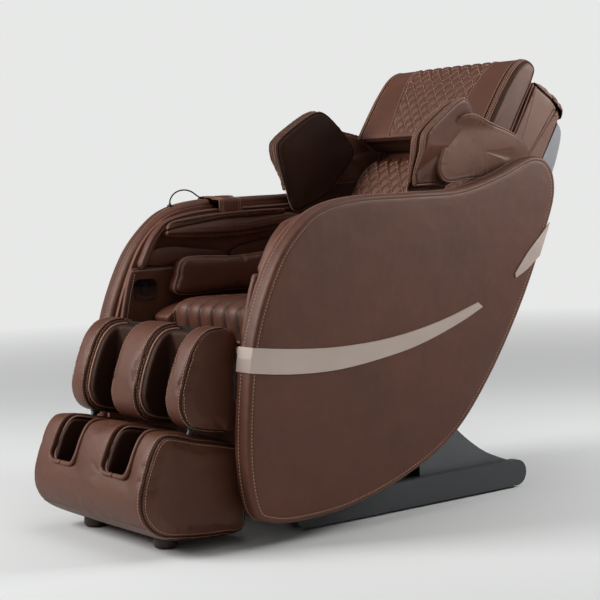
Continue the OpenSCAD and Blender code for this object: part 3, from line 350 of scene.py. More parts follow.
def noise_along(run, seed, wave):
    """Smooth uneven ripple along a seam, between -1 and 1, the same on each run."""
    draw = np.random.default_rng(seed)
    total = np.zeros_like(run)
    for k in range(4):
        total += np.sin(run * 2 * math.pi / (wave * (0.7 + 0.35 * k)) + draw.uniform(0, 7)) / (k + 1)
    return total / 1.6


def noise_at(run, seed, wave):
    """The same ripple at one place, from a table that is drawn only once."""
    key = (seed, wave)
    if key not in ripples:
        ripples[key] = noise_along(np.arange(0, RIPPLE_RUN, 1.0), seed, wave)
    return ripples[key][int(run) % RIPPLE_RUN]


def paint_shade_depth(piece, depth):
    """Remember how deep in a seam, or under the pillow, each point lies: painted shade darkens the colour
    there.
    """
    mark = piece.data.attributes.get("seam") or piece.data.attributes.new("seam", "FLOAT", "POINT")
    old = np.zeros(len(depth), np.float32)
    mark.data.foreach_get("value", old)
    mark.data.foreach_set("value", np.maximum(old, depth).astype(np.float32))


def sew(piece, line, width=5.0, depth=2.0, pucker=0.0, wave=16.0, reach=16.0, seed=1, closed=False):
    """Press a seam along a line of points into a piece, and mark how deep it is there, for the painted shade.
    """
    fine_step = 2.0
    fine = even(line, fine_step, closed)
    tree = kdtree.KDTree(len(fine))
    for i, p in enumerate(fine):
        tree.insert(p, i)
    tree.balance()
    points, normal = points_of(piece), normals_of(piece)
    lim = max(3 * width, 2.2 * reach if pucker else 0)
    low, high = fine.min(0) - lim, fine.max(0) + lim
    near = np.nonzero(np.all((points > low) & (points < high), axis=1))[0]
    shift = np.zeros(len(points))
    seam = np.zeros(len(points))
    for i in near:
        _, k, d = tree.find(points[i])
        if d > lim:
            continue
        dip = math.exp(-((d / width) ** 2))
        side = math.exp(-(((d - 2.1 * width) / width) ** 2))
        shift[i] += -depth * dip + 0.3 * depth * side
        seam[i] = max(seam[i], dip)
        if pucker:
            ripple = noise_at(k * fine_step, seed, wave)
            shift[i] += pucker * ripple * math.exp(-d / reach) * (1 - 0.6 * dip)
    move(piece, points + shift[:, None] * normal)
    paint_shade_depth(piece, seam)
    return piece


# %% [markdown]
# Thread and piping must lie on the leather exactly, also after it has been stuffed and creased. Each
# point of the line is therefore dropped onto the nearest spot of the finished skin.

# %% Lay lines on a skin
BEAD_SIDES, PIPING_STEP = 5, 5.0


def skin_of(piece):
    """The finished skin, in millimetres, in a form that can be searched for its nearest spot."""
    return BVHTree.FromPolygons([tuple(v.co / MM) for v in piece.data.vertices],
                                [tuple(p.vertices) for p in piece.data.polygons])


def laid(skin, line, step, closed):
    """Points on the skin, with the skin's normals, at even steps along the line."""
    spots, normals = [], []
    for p in even(line, step, closed):
        spot, normal, _, _ = skin.find_nearest(Vector(p))
        spots.append(spot)
        normals.append(normal)
    return np.array(spots), np.array(normals)


def ahead_of(spots, closed):
    """At each point of a line, the way along it."""
    ahead = np.roll(spots, -1, axis=0) - np.roll(spots, 1, axis=0)
    if not closed:
        ahead[0], ahead[-1] = spots[1] - spots[0], spots[-1] - spots[-2]
    return ahead


def thread(name, skin, lines, pitch=7.5, length=5.0, radius=0.75, lift=0.35):
    """One bead for each stitch along each line; a line is (points, closed)."""
    points, faces = [], []
    for line, closed in lines:
        spots, normals = laid(skin, line, pitch, closed)
        for spot, normal, t in zip(spots, normals, ahead_of(spots, closed)):
            t = t / max(np.linalg.norm(t), TINY)
            side = np.cross(normal, t)
            base = len(points)
            for s, r in ((-0.5, 0.45), (-0.25, 1.0), (0.25, 1.0), (0.5, 0.45)):
                c = spot + normal * (lift - 0.5 * radius * (2 * s) ** 2) + t * s * length
                for a in range(BEAD_SIDES):
                    w = 2 * math.pi * a / BEAD_SIDES
                    points.append(c + radius * r * (math.cos(w) * side + math.sin(w) * normal))
            for row in range(base, base + 3 * BEAD_SIDES, BEAD_SIDES):
                for a in range(BEAD_SIDES):
                    b = (a + 1) % BEAD_SIDES
                    faces.append((row + a, row + b, row + BEAD_SIDES + b, row + BEAD_SIDES + a))
            faces.append(tuple(base + a for a in reversed(range(BEAD_SIDES))))
            faces.append(tuple(base + 3 * BEAD_SIDES + a for a in range(BEAD_SIDES)))
    mesh = bpy.data.meshes.new(name)
    mesh.from_pydata((np.array(points) * MM).tolist(), [], faces)
    mesh.shade_smooth()
    made = bpy.data.objects.new(name, mesh)
    bpy.context.scene.collection.objects.link(made)
    return made


def piping(name, skin, lines, radius=2.2, lift=0.4, sides=8):
    """A round cord of leather sewn into a seam, or free in space where there is no skin."""
    points, faces = [], []
    for line, closed in lines:
        if skin is None:
            spots = even(line, PIPING_STEP, closed)
            normals = np.zeros_like(spots)
            normals[:, 0] = 1
        else:
            spots, normals = laid(skin, line, PIPING_STEP, closed)
        base, n = len(points), len(spots)
        for spot, normal, t in zip(spots, normals, ahead_of(spots, closed)):
            t = t / max(np.linalg.norm(t), TINY)
            side = np.cross(normal, t)
            side = side / max(np.linalg.norm(side), TINY)
            up = np.cross(t, side)
            centre = spot + normal * lift * radius
            for a in range(sides):
                w = 2 * math.pi * a / sides
                points.append(centre + radius * (math.cos(w) * side + math.sin(w) * up))
        for j in range(n if closed else n - 1):
            here, there = base + sides * j, base + sides * ((j + 1) % n)
            for a in range(sides):
                b = (a + 1) % sides
                faces.append((here + a, there + a, there + b, here + b))
        if not closed:
            faces.append(tuple(base + a for a in range(sides)))
            faces.append(tuple(base + sides * (n - 1) + a for a in reversed(range(sides))))
    return new_piece(name, np.array(points), faces)


# %% [markdown]
# ## Finishes as sums
# A finish is a small sum over the surface: a base colour, plus clouds, plus grain. Writing it as arithmetic
# is easier to follow than a page of node calls, so one small class holds a socket and lets Python's own
# signs add the nodes. Everything else comes from one method that makes any node.

# %% A socket that can be used in arithmetic
class Value:
    """One output of a node; plus, minus, times and divide make a Math node."""

    def __init__(self, finish, socket):
        self.finish, self.socket = finish, socket

    def maths(self, operation, *values):
        return self.finish.node("ShaderNodeMath", {"operation": operation}, dict(enumerate(values)))

    def __add__(self, other):
        return self.maths("ADD", self, other)

    def __sub__(self, other):
        return self.maths("SUBTRACT", self, other)

    def __rsub__(self, other):
        return self.maths("SUBTRACT", other, self)

    def __mul__(self, other):
        return self.maths("MULTIPLY", self, other)

    def __truediv__(self, other):
        return self.maths("DIVIDE", self, other)

    def __rtruediv__(self, other):
        return self.maths("DIVIDE", other, self)

    __radd__, __rmul__ = __add__, __mul__


def paint(code):
    """A colour written as a web code, as the linear numbers that a shader wants."""
    rgb = [int(code[i:i + 2], 16) / 255 for i in (1, 3, 5)]
    return tuple(c / 12.92 if c <= 0.04045 else ((c + 0.055) / 1.055) ** 2.4 for c in rgb) + (1.0,)


class Finish:
    """A material while its nodes are being laid out."""

    def __init__(self, name):
        self.material = bpy.data.materials.new(name)
        self.material.use_nodes = True
        self.tree = self.material.node_tree
        self.tree.nodes.clear()

    def node(self, kind, settings=None, values=None, out=0):
        """Make a node: first its settings, then the numbers or links of its sockets."""
        made = self.tree.nodes.new(kind)
        for key, value in (settings or {}).items():
            if key == "stops":
                ramp = made.color_ramp.elements
                while len(ramp) < len(value):
                    ramp.new(0.5)
                for stop, (position, colour) in zip(ramp, value):
                    stop.position, stop.color = position, colour
            else:
                setattr(made, key, value)
        for key, value in (values or {}).items():
            if isinstance(value, Value):
                self.tree.links.new(value.socket, made.inputs[key])
            else:
                made.inputs[key].default_value = value
        return Value(self, made.outputs[out]) if len(made.outputs) else None

    def place(self):
        """Where a point is on its piece, in metres."""
        return self.node("ShaderNodeTexCoord", out=3)

    def blend(self, factor, first, second):
        return self.node("ShaderNodeMix", {"data_type": "RGBA"}, {0: factor, 6: first, 7: second}, out=2)

    def noise(self, place, scale, detail=2.0, rough=0.5):
        return self.node("ShaderNodeTexNoise", None,
                         {"Vector": place, "Scale": scale, "Detail": detail, "Roughness": rough})

    def stretched(self, place, by):
        """The same place with each direction scaled, which draws a pattern out."""
        return self.node("ShaderNodeVectorMath", {"operation": "MULTIPLY"}, {0: place, 1: by})

    def clamp(self, value, low=0.0, high=1.0):
        return self.node("ShaderNodeClamp", None, {0: value, 1: low, 2: high})

    def bump(self, height, distance, strength=1.0, under=None):
        values = {"Height": height, "Distance": distance, "Strength": strength}
        if under is not None:
            values["Normal"] = under
        return self.node("ShaderNodeBump", None, values)

    def done(self, **sockets):
        shader = self.node("ShaderNodeBsdfPrincipled", None,
                           {name.replace("_", " "): value for name, value in sockets.items()})
        self.node("ShaderNodeOutputMaterial", None, {0: shader})
        return self.material


# %% [markdown]
# ## Leather
# The covers are a coated brown leather. Up close it has a fine pebble of about two millimetres, crossed by
# faint creases; from a step back it has clouds of lighter and redder brown, shade is painted into its
# colour down in its seams and under the pillow, and its ridges are rubbed paler. All of that is one function,
# so that the same hide can be made in the chair's darker lining colour, which also stands as painted shade on
# the far wing, in the pale colour of the piping in the troughs and wells, and as a paler copy of the brown
# that is a painted sheen.

# %% Mix the leathers
# The colour of the painted shade down in seams and quilting and under the pillow.
PAINTED_SHADE_COLOUR = "#2a160f"
WARM_GLOSS = (1.0, 0.86, 0.79, 1.0)


def leather(name, deep, body, rubbed, rough=0.46, shine=0.42):
    f = Finish(name)
    place = f.place()
    cloud = f.noise(place, 7.0, 3.0, 0.55)
    mottle = f.noise(place, 55.0, 3.0, 0.6)
    pebble = f.node("ShaderNodeTexVoronoi", {"feature": "DISTANCE_TO_EDGE"},
                    {"Vector": place, "Scale": 420.0})
    crease = f.noise(place, 150.0, 4.0, 0.65)
    seam = f.node("ShaderNodeAttribute", {"attribute_name": "seam"}, out=2)
    ridge = f.node("ShaderNodeNewGeometry", out=7)
    tone = f.clamp((cloud - 0.5) * 1.2 + (mottle - 0.5) * 0.5 + 0.62)
    colour = f.blend(tone, paint(deep), paint(body))
    worn = f.clamp((ridge - 0.52) * 8.0 + (mottle - 0.5) * 0.5)
    colour = f.blend(worn * 0.5, colour, paint(rubbed))
    # Painted shade: darker where a point lies deep in a seam or under the pillow.
    colour = f.blend(f.clamp(seam * 0.8), colour, paint(PAINTED_SHADE_COLOUR))
    height = f.clamp(pebble * 6.0) * 0.5 + crease * 0.6
    grain = f.bump(height, 0.0005, 0.55)
    wide = f.bump(f.noise(place, 16.0, 2.0, 0.5), 0.004, 0.35, grain)
    return f.done(Base_Color=colour, Roughness=f.clamp(mottle * 0.25 + rough - 0.12), Normal=wide,
                  Specular_IOR_Level=shine, Specular_Tint=WARM_GLOSS)


brown = leather("brown_leather", "#442418", "#5f3727", "#875846")
# The darker lining leather; on the far wing it also stands as painted shade.
lining_and_shade = leather("lining_and_painted_shade_leather", "#24120b", "#361d13", "#4e3024", 0.55, 0.18)
# A paler copy of the brown leather, a painted sheen for faces that catch the light.
painted_sheen = leather("painted_sheen_leather", "#573629", "#714a3a", "#9a7363")
pale = leather("pale_piping", "#7d5a49", "#9a7562", "#b8937f", 0.4)
print("leathers:", [m.name for m in (brown, lining_and_shade, painted_sheen, pale)])

# %% [markdown]
# ## Thread, metal, plastic and the works inside
# The thread is matt and pale. The trims are brushed metal with a champagne tint: the brushing is a noise
# stretched along the trim. Moulded plastics have a fine spark-eroded grain, and the frame inside is
# painted tube. Each of them gets its own small unevenness, because nothing real is one flat colour.

# %% Mix the other finishes
def grained(name, colour, other, rough, metal=0.0, scale=900.0, depth=0.0002, stretch=None, clouds=12.0,
            coat=0.0):
    """Two close shades in clouds under a fine grain; stretch turns the grain into brushing."""
    f = Finish(name)
    place = f.place()
    fine = f.noise(f.stretched(place, stretch) if stretch else place, scale, 3.0, 0.6)
    wide = f.noise(place, clouds, 3.0, 0.55)
    tone = f.clamp((wide - 0.5) * 1.6 + (fine - 0.5) * 0.5 + 0.5)
    return f.done(Base_Color=f.blend(tone, paint(colour), paint(other)), Metallic=metal,
                  Roughness=f.clamp((wide - 0.5) * 0.22 + (fine - 0.5) * 0.1 + rough),
                  Normal=f.bump(fine, depth, 0.5), Coat_Weight=coat)


stitching = grained("waxed_thread", "#b98f78", "#cfa88f", 0.7, scale=1500, depth=0.0001)
champagne = grained("champagne_trim", "#b9a79d", "#c4b4aa", 0.36, 0.6, 350, 0.00003, (1, 0.06, 1), 5.0)
cover_grey = grained("cover_plastic", "#36383a", "#3e4042", 0.5, scale=1400, depth=0.00012)
apron_grey = grained("apron_plastic", "#4c4e50", "#57595b", 0.52, scale=1400, depth=0.00012)
shell_grey = grained("shell_plastic", "#7d7f83", "#898b8f", 0.5, scale=1400, depth=0.00012)
black_plastic = grained("black_plastic", "#17181a", "#202224", 0.45, scale=1200, depth=0.00012)
gloss_black = grained("gloss_black", "#0c0c0d", "#141416", 0.12, scale=60, depth=0.00003, coat=1.0)
rubber = grained("rubber", "#1a1614", "#26201d", 0.8, scale=800, depth=0.0003)
painted_steel = grained("painted_steel", "#1b1a1a", "#252424", 0.45, scale=500, depth=0.00015)
grey_steel = grained("zinc_steel", "#8b8e92", "#a2a5a8", 0.38, 0.8, 260, 0.0001)
polished = grained("polished_rod", "#c4c7ca", "#d6d8da", 0.16, 1.0, 120, 0.00003)
red_plastic = grained("red_plastic", "#8d1f1b", "#9c2a24", 0.35, scale=900, depth=0.0001)
roller_plastic = grained("roller_plastic", "#cfc8b8", "#dad4c6", 0.5, scale=900, depth=0.0001)
cable_black = grained("cable_skin", "#1b1715", "#241e1b", 0.55, scale=900, depth=0.0001)
dark_foot = grained("foot_button", "#2b1711", "#3a2119", 0.5, scale=600, depth=0.0002)


def ply_board(name):
    """Birch plywood: long soft grain with darker streaks."""
    f = Finish(name)
    place = f.place()
    long_place = f.stretched(place, (1.0, 0.06, 1.0))
    streak = f.noise(long_place, 130.0, 4.0, 0.6)
    ring = f.node("ShaderNodeTexWave", {"wave_type": "BANDS"},
                  {"Vector": long_place, "Scale": 9.0, "Distortion": 6.0, "Detail": 2.0})
    colour = f.blend(f.clamp(streak * 0.7 + ring * 0.3), paint("#a47f54"), paint("#c9a679"))
    return f.done(Base_Color=colour, Roughness=f.clamp(streak * 0.2 + 0.5),
                  Normal=f.bump(streak, 0.0002, 0.5))


plywood = ply_board("birch_ply")

# %% [markdown]
# The hard parts already have their final shape, so they stay as they are and only get a finish. A table of
# part and finish is easiest to check. The boards inside the sides are covered in the same leather.

# %% Give the parts that stay their finish
kept = {
    "base_frame": painted_steel, "base_covers": cover_grey, "base_apron": apron_grey, "base_feet": rubber,
    "wheel_l": rubber, "wheel_r": rubber, "control_box": black_plastic, "power_inlet": black_plastic,
    "power_switch": red_plastic, "tilt_actuator": black_plastic, "tilt_rod": polished,
    "seat_frame": painted_steel, "seat_pan": plywood, "side_board_l": brown, "side_board_r": brown,
    "trim_l": champagne, "trim_r": champagne, "control_bezel": gloss_black, "control_knob": gloss_black,
    "cable_gland": black_plastic, "air_pump": black_plastic, "legrest_motor": grey_steel,
    "recline_actuator": black_plastic, "recline_rod": polished, "back_frame": painted_steel,
    "back_shell": shell_grey, "carriage_frame": grey_steel, "carriage_motor": black_plastic,
    "pinion_shaft": polished, "roller_arms": painted_steel, "upper_rollers": roller_plastic,
    # The foot rods are polished rods in the chair, but take the black painted steel as painted shade in the
    # dark gap between the calf pads and the foot unit.
    "lower_rollers": roller_plastic, "calf_frame": painted_steel, "foot_rods": painted_steel,
    "foot_feet": dark_foot, "sole_rollers": roller_plastic,
}
for name, material in kept.items():
    part = nodes[name]
    if not part.material_slots:
        part.data.materials.append(material)
    for held_slot in part.material_slots:
        held_slot.material = material
print("finished parts:", len(kept))

# %% [markdown]
# ## The cable of the hand control
# Cords are settled before soft goods, because their length decides where they can lie. This one is short and
# springy, four millimetres thick: it rises out of its gland on top of the armrest and arches into the
# strap, where the hand control is kept. A curve with a round bevel is the natural way to draw it.

# %% Arch the cable
cable_points = [
    (-330, -238, 798), (-330, -238, 802), (-330, -235, 810), (-330, -225, 822), (-330, -208, 830),
    (-330, -188, 832), (-330, -168, 827), (-330, -152, 817), (-330, -140, 810), (-330, -127.5, 810),
]
cable_line = path(cable_points, 5)
cable_curve = bpy.data.curves.new("hand_control_cable", "CURVE")
cable_curve.dimensions, cable_curve.bevel_depth, cable_curve.bevel_resolution = "3D", 2 * MM, 3
cable_curve.use_fill_caps = True
run = cable_curve.splines.new("POLY")
run.points.add(len(cable_line) - 1)
for spot, p in zip(run.points, cable_line):
    spot.co = (*(p * MM), 1)
cable = bpy.data.objects.new("hand_control_cable", cable_curve)
bpy.context.scene.collection.objects.link(cable)
cable_curve.materials.append(cable_black)
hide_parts("remote_cable")
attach(cable, "seat")

# %% [markdown]
# ## The two padded sides
# A side is a board wrapped in foam and leather. Its outline is the chair's main line: down the front, over
# the armrest, up behind the shoulder, and round the back to the floor. The leather turns over the outer
# edge in a small radius and is sewn down about fourteen millimetres in from it, all the way round. A
# second row of stitches runs round the rim, nearer to the board.

# %% Cut and wrap the sides
SIDES = ((1, "l"), (-1, "r"))  # which way X runs, and the sitter's left or right
HALF_W, BOARD_X, INNER_X, BLOCK_X, ARM_TOP = 360.0, 300.0, 288.0, 268.0, 808.0
side_template = [
    (-478, 92), (-496, 220), (-481, 400), (-455, 520), (-400, 645), (-341, 722),
    (-262, ARM_TOP - 28), (-150, ARM_TOP - 4), (30, ARM_TOP), (190, ARM_TOP + 5),
    (320, ARM_TOP + 36), (450, ARM_TOP + 80), (515, ARM_TOP + 56), (532, 790),
    (492, 685), (400, 507), (280, 330), (150, 193), (-10, 110), (-190, 60),
    (-340, 48), (-430, 58),
]
side_loop = loop(side_template, 5)
side_in = inwards(side_loop)
side_stations = [
    (BOARD_X + 0.6, 13), (BOARD_X + 2, 8.5), (BOARD_X + 5.5, 4.5), (BOARD_X + 11, 1.8), (BOARD_X + 18, 0.4),
    (BOARD_X + 26, 0), (HALF_W - 16, 0), (HALF_W - 8, 1.2), (HALF_W - 3.4, 3.6),
    (HALF_W - 1.2, 7), (HALF_W - 0.5, 10), (HALF_W - 1.0, 12.6), (HALF_W - 1.9, 14), (HALF_W - 1.0, 15.4),
    (HALF_W - 0.4, 18), (HALF_W, 24),
]
for sign, tag in SIDES:
    rings = [at_x(sign * x, side_loop + d * side_in) for x, d in side_stations]
    cover = ringed("side_leather_" + tag, rings, inner=14)
    seam_line = at_x(sign * (HALF_W - 1.9), side_loop + 14 * side_in)
    inner_seam = at_x(sign * (BOARD_X + 24), side_loop)
    sew(cover, inner_seam, 3.0, 1.2, closed=True)
    skin = skin_of(cover)
    finished(cover, brown, "seat", "side_cover_" + tag, fill=0.9)
    stitches = thread("side_thread_" + tag, skin, [(seam_line, True), (inner_seam, True)], 8.5, 5.2, 0.95)
    finished(stitches, stitching, "seat")
print("side outline", len(side_loop), "points")

# %% [markdown]
# ## The armrests inside
# Along the top of each side runs a padded roll, and below it lies a shelf on a padded block. The forearm
# rests between air pads. The pads are plain stuffed shapes, so each is its own template turned over at the
# edges, and the simulation makes them look filled rather than carved. The roll bends down round the front
# of the armrest, so it is drawn as one soft section after another, each square to the roll's own line.

# %% Rolls, blocks and pads of the arms
def edge_stations(low, high, radius, steps=4):
    """Stations from one face of a pad to the other: (height, inset), with round edges."""
    up = [(low + radius * (1 - math.cos(a)), radius * (1 - math.sin(a)))
          for a in np.linspace(0, math.pi / 2, steps + 1)]
    down = [(high - radius * (1 - math.cos(a)), radius * (1 - math.sin(a)))
            for a in np.linspace(math.pi / 2, 0, steps + 1)]
    return up + down


def flat_pad(name, outline, x0, x1, radius, sign=1, step=6, crown=(0, 0), inner=5):
    """A pad whose template lies in Y-Z, from x0 to x1, rows about 7 mm apart."""
    q = loop(outline, step)
    square = inwards(q)
    span = np.linspace(0, 1, max(2, int((x1 - x0 - 2 * radius) / 7)))[1:-1]
    stations = edge_stations(x0, x1, radius)
    half = len(stations) // 2
    middle = [(x0 + radius + s * (x1 - x0 - 2 * radius), 0) for s in span]
    rings = [at_x(sign * x, q + d * square) for x, d in stations[:half] + middle + stations[half:]]
    return ringed(name, rings, inner=inner, crown=crown)


roll_line = path([(-399, 646), (-372, 692), (-332, 731), (-270, ARM_TOP - 48), (-160, ARM_TOP - 32),
                  (20, ARM_TOP - 28), (186, ARM_TOP - 24)], 6)
roll_n = square_to(roll_line)
roll_mid = roll_line - (9 + 20 * np.clip((-300 - roll_line[:, :1]) / 80, 0, 1)) * roll_n
block_template = [
    (-404, 624), (-424, 560), (-440, 490), (-452, 420), (-440, 372), (-380, 366), (-200, 400),
    (20, 440), (100, 470), (112, 560), (104, 628), (60, 632), (-180, 632), (-380, 632),
]
hip_template = [
    (-288, 558), (-290, 610), (-276, 646), (-240, 657), (-100, 655), (40, 659), (92, 650),
    (98, 600), (84, 558), (-100, 556),
]
upper_template = [
    (-306, 720), (-278, 707), (-148, 701), (-28, 704), (122, 726), (136, 746), (120, 758),
    (-28, 754), (-148, 750), (-278, 734),
]
front_template = [
    (-372, 648), (-330, 634), (-260, 633), (-116, 634), (-100, 652), (-118, 668),
    (-200, 678), (-280, 686), (-340, 675),
]
strip_template = [
    (-302, 728), (-280, 736), (-148, 751), (-28, 755), (76, 757), (84, 764), (76, 771), (-28, 771),
    (-148, 766), (-280, 752),
]
rear_template = [
    (-88, 650), (-70, 634), (40, 634), (70, 660), (72, 686), (50, 692), (-30, 680), (-74, 668),
]
arm_pads = (("upper", upper_template, 241, 9), ("front", front_template, 269, 6),
            ("rear", rear_template, 269, 6))


def roll_pad(name, sign):
    """A long soft section, drawn square to the line of the roll at every step."""
    middle_x, half_x, half_v = 273.05, 14.6, 11.0
    turn = np.linspace(0, 2 * math.pi, 28, endpoint=False)
    wide = np.sign(np.cos(turn)) * np.abs(np.cos(turn)) ** 0.6
    tall = np.sign(np.sin(turn)) * np.abs(np.sin(turn)) ** 0.6
    rings = []
    for i, (centre, square) in enumerate(zip(roll_mid, roll_n)):
        full = min(1.0, 0.6 + 0.2 * min(i, len(roll_mid) - 1 - i))
        rings.append([(sign * (middle_x + full * half_x * w), *(centre + full * half_v * v * square))
                      for w, v in zip(wide, tall)])
    return ringed(name, rings, inner=2)


for sign, tag in SIDES:
    roll = roll_pad("arm_roll_leather_" + tag, sign)
    roll_side = at_x(sign * 260.0, roll_mid + 5 * roll_n)
    skin = skin_of(roll)
    finished(roll, brown, "seat", "arm_roll_" + tag, fill=0.8)
    finished(piping("arm_roll_piping_" + tag, skin, [(roll_side, False)], 1.8), lining_and_shade, "seat")
    finished(thread("arm_roll_thread_" + tag, skin, [(roll_side + [0, 0, -7], False)]), stitching, "seat")

    block = soft_copy("inner_block_" + tag, "inner_block_leather_" + tag, 4, 4, 0.9)
    lip = at_x(sign * 270.0, path([(-398, 628), (-300, 629), (-120, 629), (60, 629)], 6))
    front = at_x(sign * 269.0, path([(-402, 615), (-418, 560), (-433, 490), (-444, 425)], 6))
    sew(block, lip, 3.0, 1.2)
    sew(block, front, 3.0, 1.2)
    skin = skin_of(block)
    finished(block, brown, "seat", "inner_block_" + tag, fill=0.8)
    finished(thread("inner_block_thread_" + tag, skin,
                    [(lip + [0, 0, -4], False), (front + [0, 6, 0], False)]), stitching, "seat")

    hip = flat_pad("hip_pad_leather_" + tag, hip_template, 217, 265, 15, sign, crown=(3, 0))
    stuffed(hip, 3.0, 5.0)
    gusset = at_x(sign * 222.0, shrunk(loop(hip_template, 6), 6))
    sew(hip, gusset, 3.5, 2.4, pucker=0.9, wave=30, closed=True, seed=5)
    skin = skin_of(hip)
    finished(hip, brown, "seat", "hip_pad_" + tag, fill=0.75)
    finished(thread("hip_pad_thread_" + tag, skin, [(at_x(sign * 227, loop(hip_template, 6)), True)]),
             stitching, "seat")

    for part_name, outline, x0, radius in arm_pads:
        pad = flat_pad("arm_pad_" + part_name + "_" + tag, outline, x0, INNER_X - 1, radius, sign)
        stuffed(pad, 2.5, 3.0, 12)
        stands_for = []
        if part_name == "upper":
            fold = at_x(sign * 240, path([(-300, 716), (-148, 711), (-28, 715), (126, 736)], 6))
            sew(pad, fold, 3.5, 2.0, pucker=1.0, wave=30, seed=9)
            stands_for = ["arm_pads_" + tag]
        finished(pad, brown, "seat", *stands_for, fill=0.7)
    strip = flat_pad("arm_strip_" + tag, strip_template, 242, 257.4, 6, sign, inner=4)
    ruffle = at_x(sign * 242, path([(-288, 744), (-148, 758), (-28, 762), (70, 764)], 6))
    sew(strip, ruffle, 3.0, 1.6, pucker=1.4, wave=28, reach=9, seed=11)
    finished(strip, brown, "seat", fill=0.7)
print("arms dressed")

# %% [markdown]
# ## The strap
# A leather band is wrapped over the sitter's right armrest and holds the hand control. It follows the armrest
# closely, so its cross-section is the armrest's own line, pushed out by the band's thickness.

# %% Wrap the strap
strap_inner = np.array([
    (-360.4, 748), (-360.4, 799), (-356.5, 805), (-348, 807.6), (-300, 807.6), (-289, 803),
    (-262, 801.5), (-257.6, 795), (-257.6, 752),
], float)
strap_line = even(arc(strap_inner, False, 6), 4, False)
strap_n = square_to(strap_line)
strap_rings = []
for y, thick in ((-127.5, 1.2), (-127.0, 3.2), (-125.5, 4.4), (-121, 4.7), (-117, 3.9), (-113, 4.6),
                 (-100, 4.8), (-80, 4.8), (-67, 4.6), (-63, 3.9), (-59, 4.7), (-54.5, 4.4), (-53.0, 3.2),
                 (-52.5, 1.2)):
    under, over = at_y(y, strap_line), at_y(y, strap_line + thick * strap_n)
    strap_rings.append(np.concatenate([under, over[::-1]]))
strap = ringed("hand_control_strap", strap_rings, inner=0)
strap_skin = skin_of(strap)
finished(strap, brown, "seat", "remote_strap", fill=0.9)
strap_top = strap_line + 4.5 * strap_n
strap_seams = [(at_y(y, strap_top), False) for y in (-121, -115, -65, -59)]
finished(thread("hand_control_strap_thread", strap_skin, strap_seams, 6.5, 4.5), stitching, "seat")
strap_length = float(np.linalg.norm(np.diff(strap_line, axis=0), axis=1).sum())
print("strap wraps", round(strap_length), "mm round the armrest")

# %% [markdown]
# ## The seat
# The middle of the seat is quilted: deep channels roll over the front edge, and behind them the channels
# break into diamonds. Plain bolsters run along both sides and end in a point at the front. The cushion is
# drawn as its own cross-section swept from side to side, and the channels are pressed in afterwards, as
# a sewing machine would.

# %% Shape the seat
SEAT_TOP, SEAT_LOW, SEAT_HALF, SEAT_MID = 552.0, 442.3, 265.7, 168.0
seat_profile = loop([
    (-330, SEAT_LOW + 20), (-338, SEAT_TOP - 34), (-322, SEAT_TOP - 8), (-280, SEAT_TOP),
    (-160, SEAT_TOP - 4), (0, SEAT_TOP - 8), (136, SEAT_TOP - 6), (170, SEAT_TOP - 20),
    (176, SEAT_LOW + 24), (154, SEAT_LOW + 3), (-100, SEAT_LOW + 1), (-300, SEAT_LOW + 3),
], 4)
seat_square = inwards(seat_profile)
seat_seam = ((-337, 470), (-340, 515), (-326, 543), (-285, 552), (-160, 548), (0, 544), (130, 546))


def seat_ring(x):
    """The seat's section at x: the ends turn in, and outside the seam the front runs to a point."""
    e = (SEAT_HALF - abs(x)) / 30
    s = 20 * (1 - e) ** 2 if e < 1 else 0
    q = seat_profile + s * 0.9 * seat_square
    ahead = np.clip((-200 - q[:, 0]) / 138, 0, 1) * np.clip((abs(x) - SEAT_MID) / 14, 0, 1)
    q[:, 1] -= 30 * ahead**1.3 * np.clip((q[:, 1] - 470) / 50, 0, 1)
    q[:, 0] -= 24 * ahead**2 * np.exp(-((q[:, 1] - 510) / 24) ** 2)
    q[:, 1] = np.maximum(q[:, 1], SEAT_LOW + 0.2)
    return at_x(x, q)


def diamonds(u, v):
    """1 on the sewing lines of a diamond pattern, falling to 0 in the middle of each diamond."""
    return np.maximum(np.abs(((u + v) % 1) * 2 - 1), np.abs(((u - v) % 1) * 2 - 1))


seat = ringed("seat_leather", [seat_ring(x) for x in np.linspace(-SEAT_HALF, SEAT_HALF, 151)], inner=6)
points, normal = points_of(seat), normals_of(seat)
inside = np.clip((SEAT_MID - np.abs(points[:, 0])) / 5, 0, 1)
front = np.clip((-210 - points[:, 1]) / 45, 0, 1)
facing = np.clip((points[:, 2] - SEAT_LOW - 14) / 25, 0, 1)
pitch = 2 * SEAT_MID / 6
u = np.abs(((points[:, 0] + SEAT_MID) / pitch) % 1 - 0.5) * 2
channel = 13.0 * np.sqrt(np.maximum(0.0, 1.03 - u * u)) - 10.0
quilt = diamonds((points[:, 0] + SEAT_MID) / pitch, (points[:, 1] + 258) / 62)
lift = inside * facing * (front * channel + (1 - front) * (2.0 - 7.5 * quilt**5))
move(seat, points + lift[:, None] * normal)
# Painted shade down in the channels and along the diamond lines.
paint_shade_depth(seat, inside * facing * np.clip(front * 1.4 * u**6 + (1 - front) * quilt**9, 0, 1))
for s in (-1, 1):
    sew(seat, path([(s * SEAT_MID, y, z) for y, z in seat_seam], 5), 4.0, 4.5)
seat_skin = skin_of(seat)
finished(seat, brown, "seat", "seat_cushion", fill=0.8)
seat_lines = [([(s * (SEAT_MID + 6), y, z) for y, z in seat_seam], False) for s in (-1, 1)]
finished(thread("seat_thread", seat_skin, seat_lines), stitching, "seat")
strip_line = path([(-250, -331, 452), (-120, -336, 456), (0, -337, 457), (120, -336, 456),
                   (250, -331, 452)], 6)
# The front piping takes the paler copy of the brown, a painted sheen.
finished(piping("seat_front_piping", None, [(strip_line, False)], 3.2), painted_sheen, "seat")
print("seat", len(seat.data.vertices), "points")

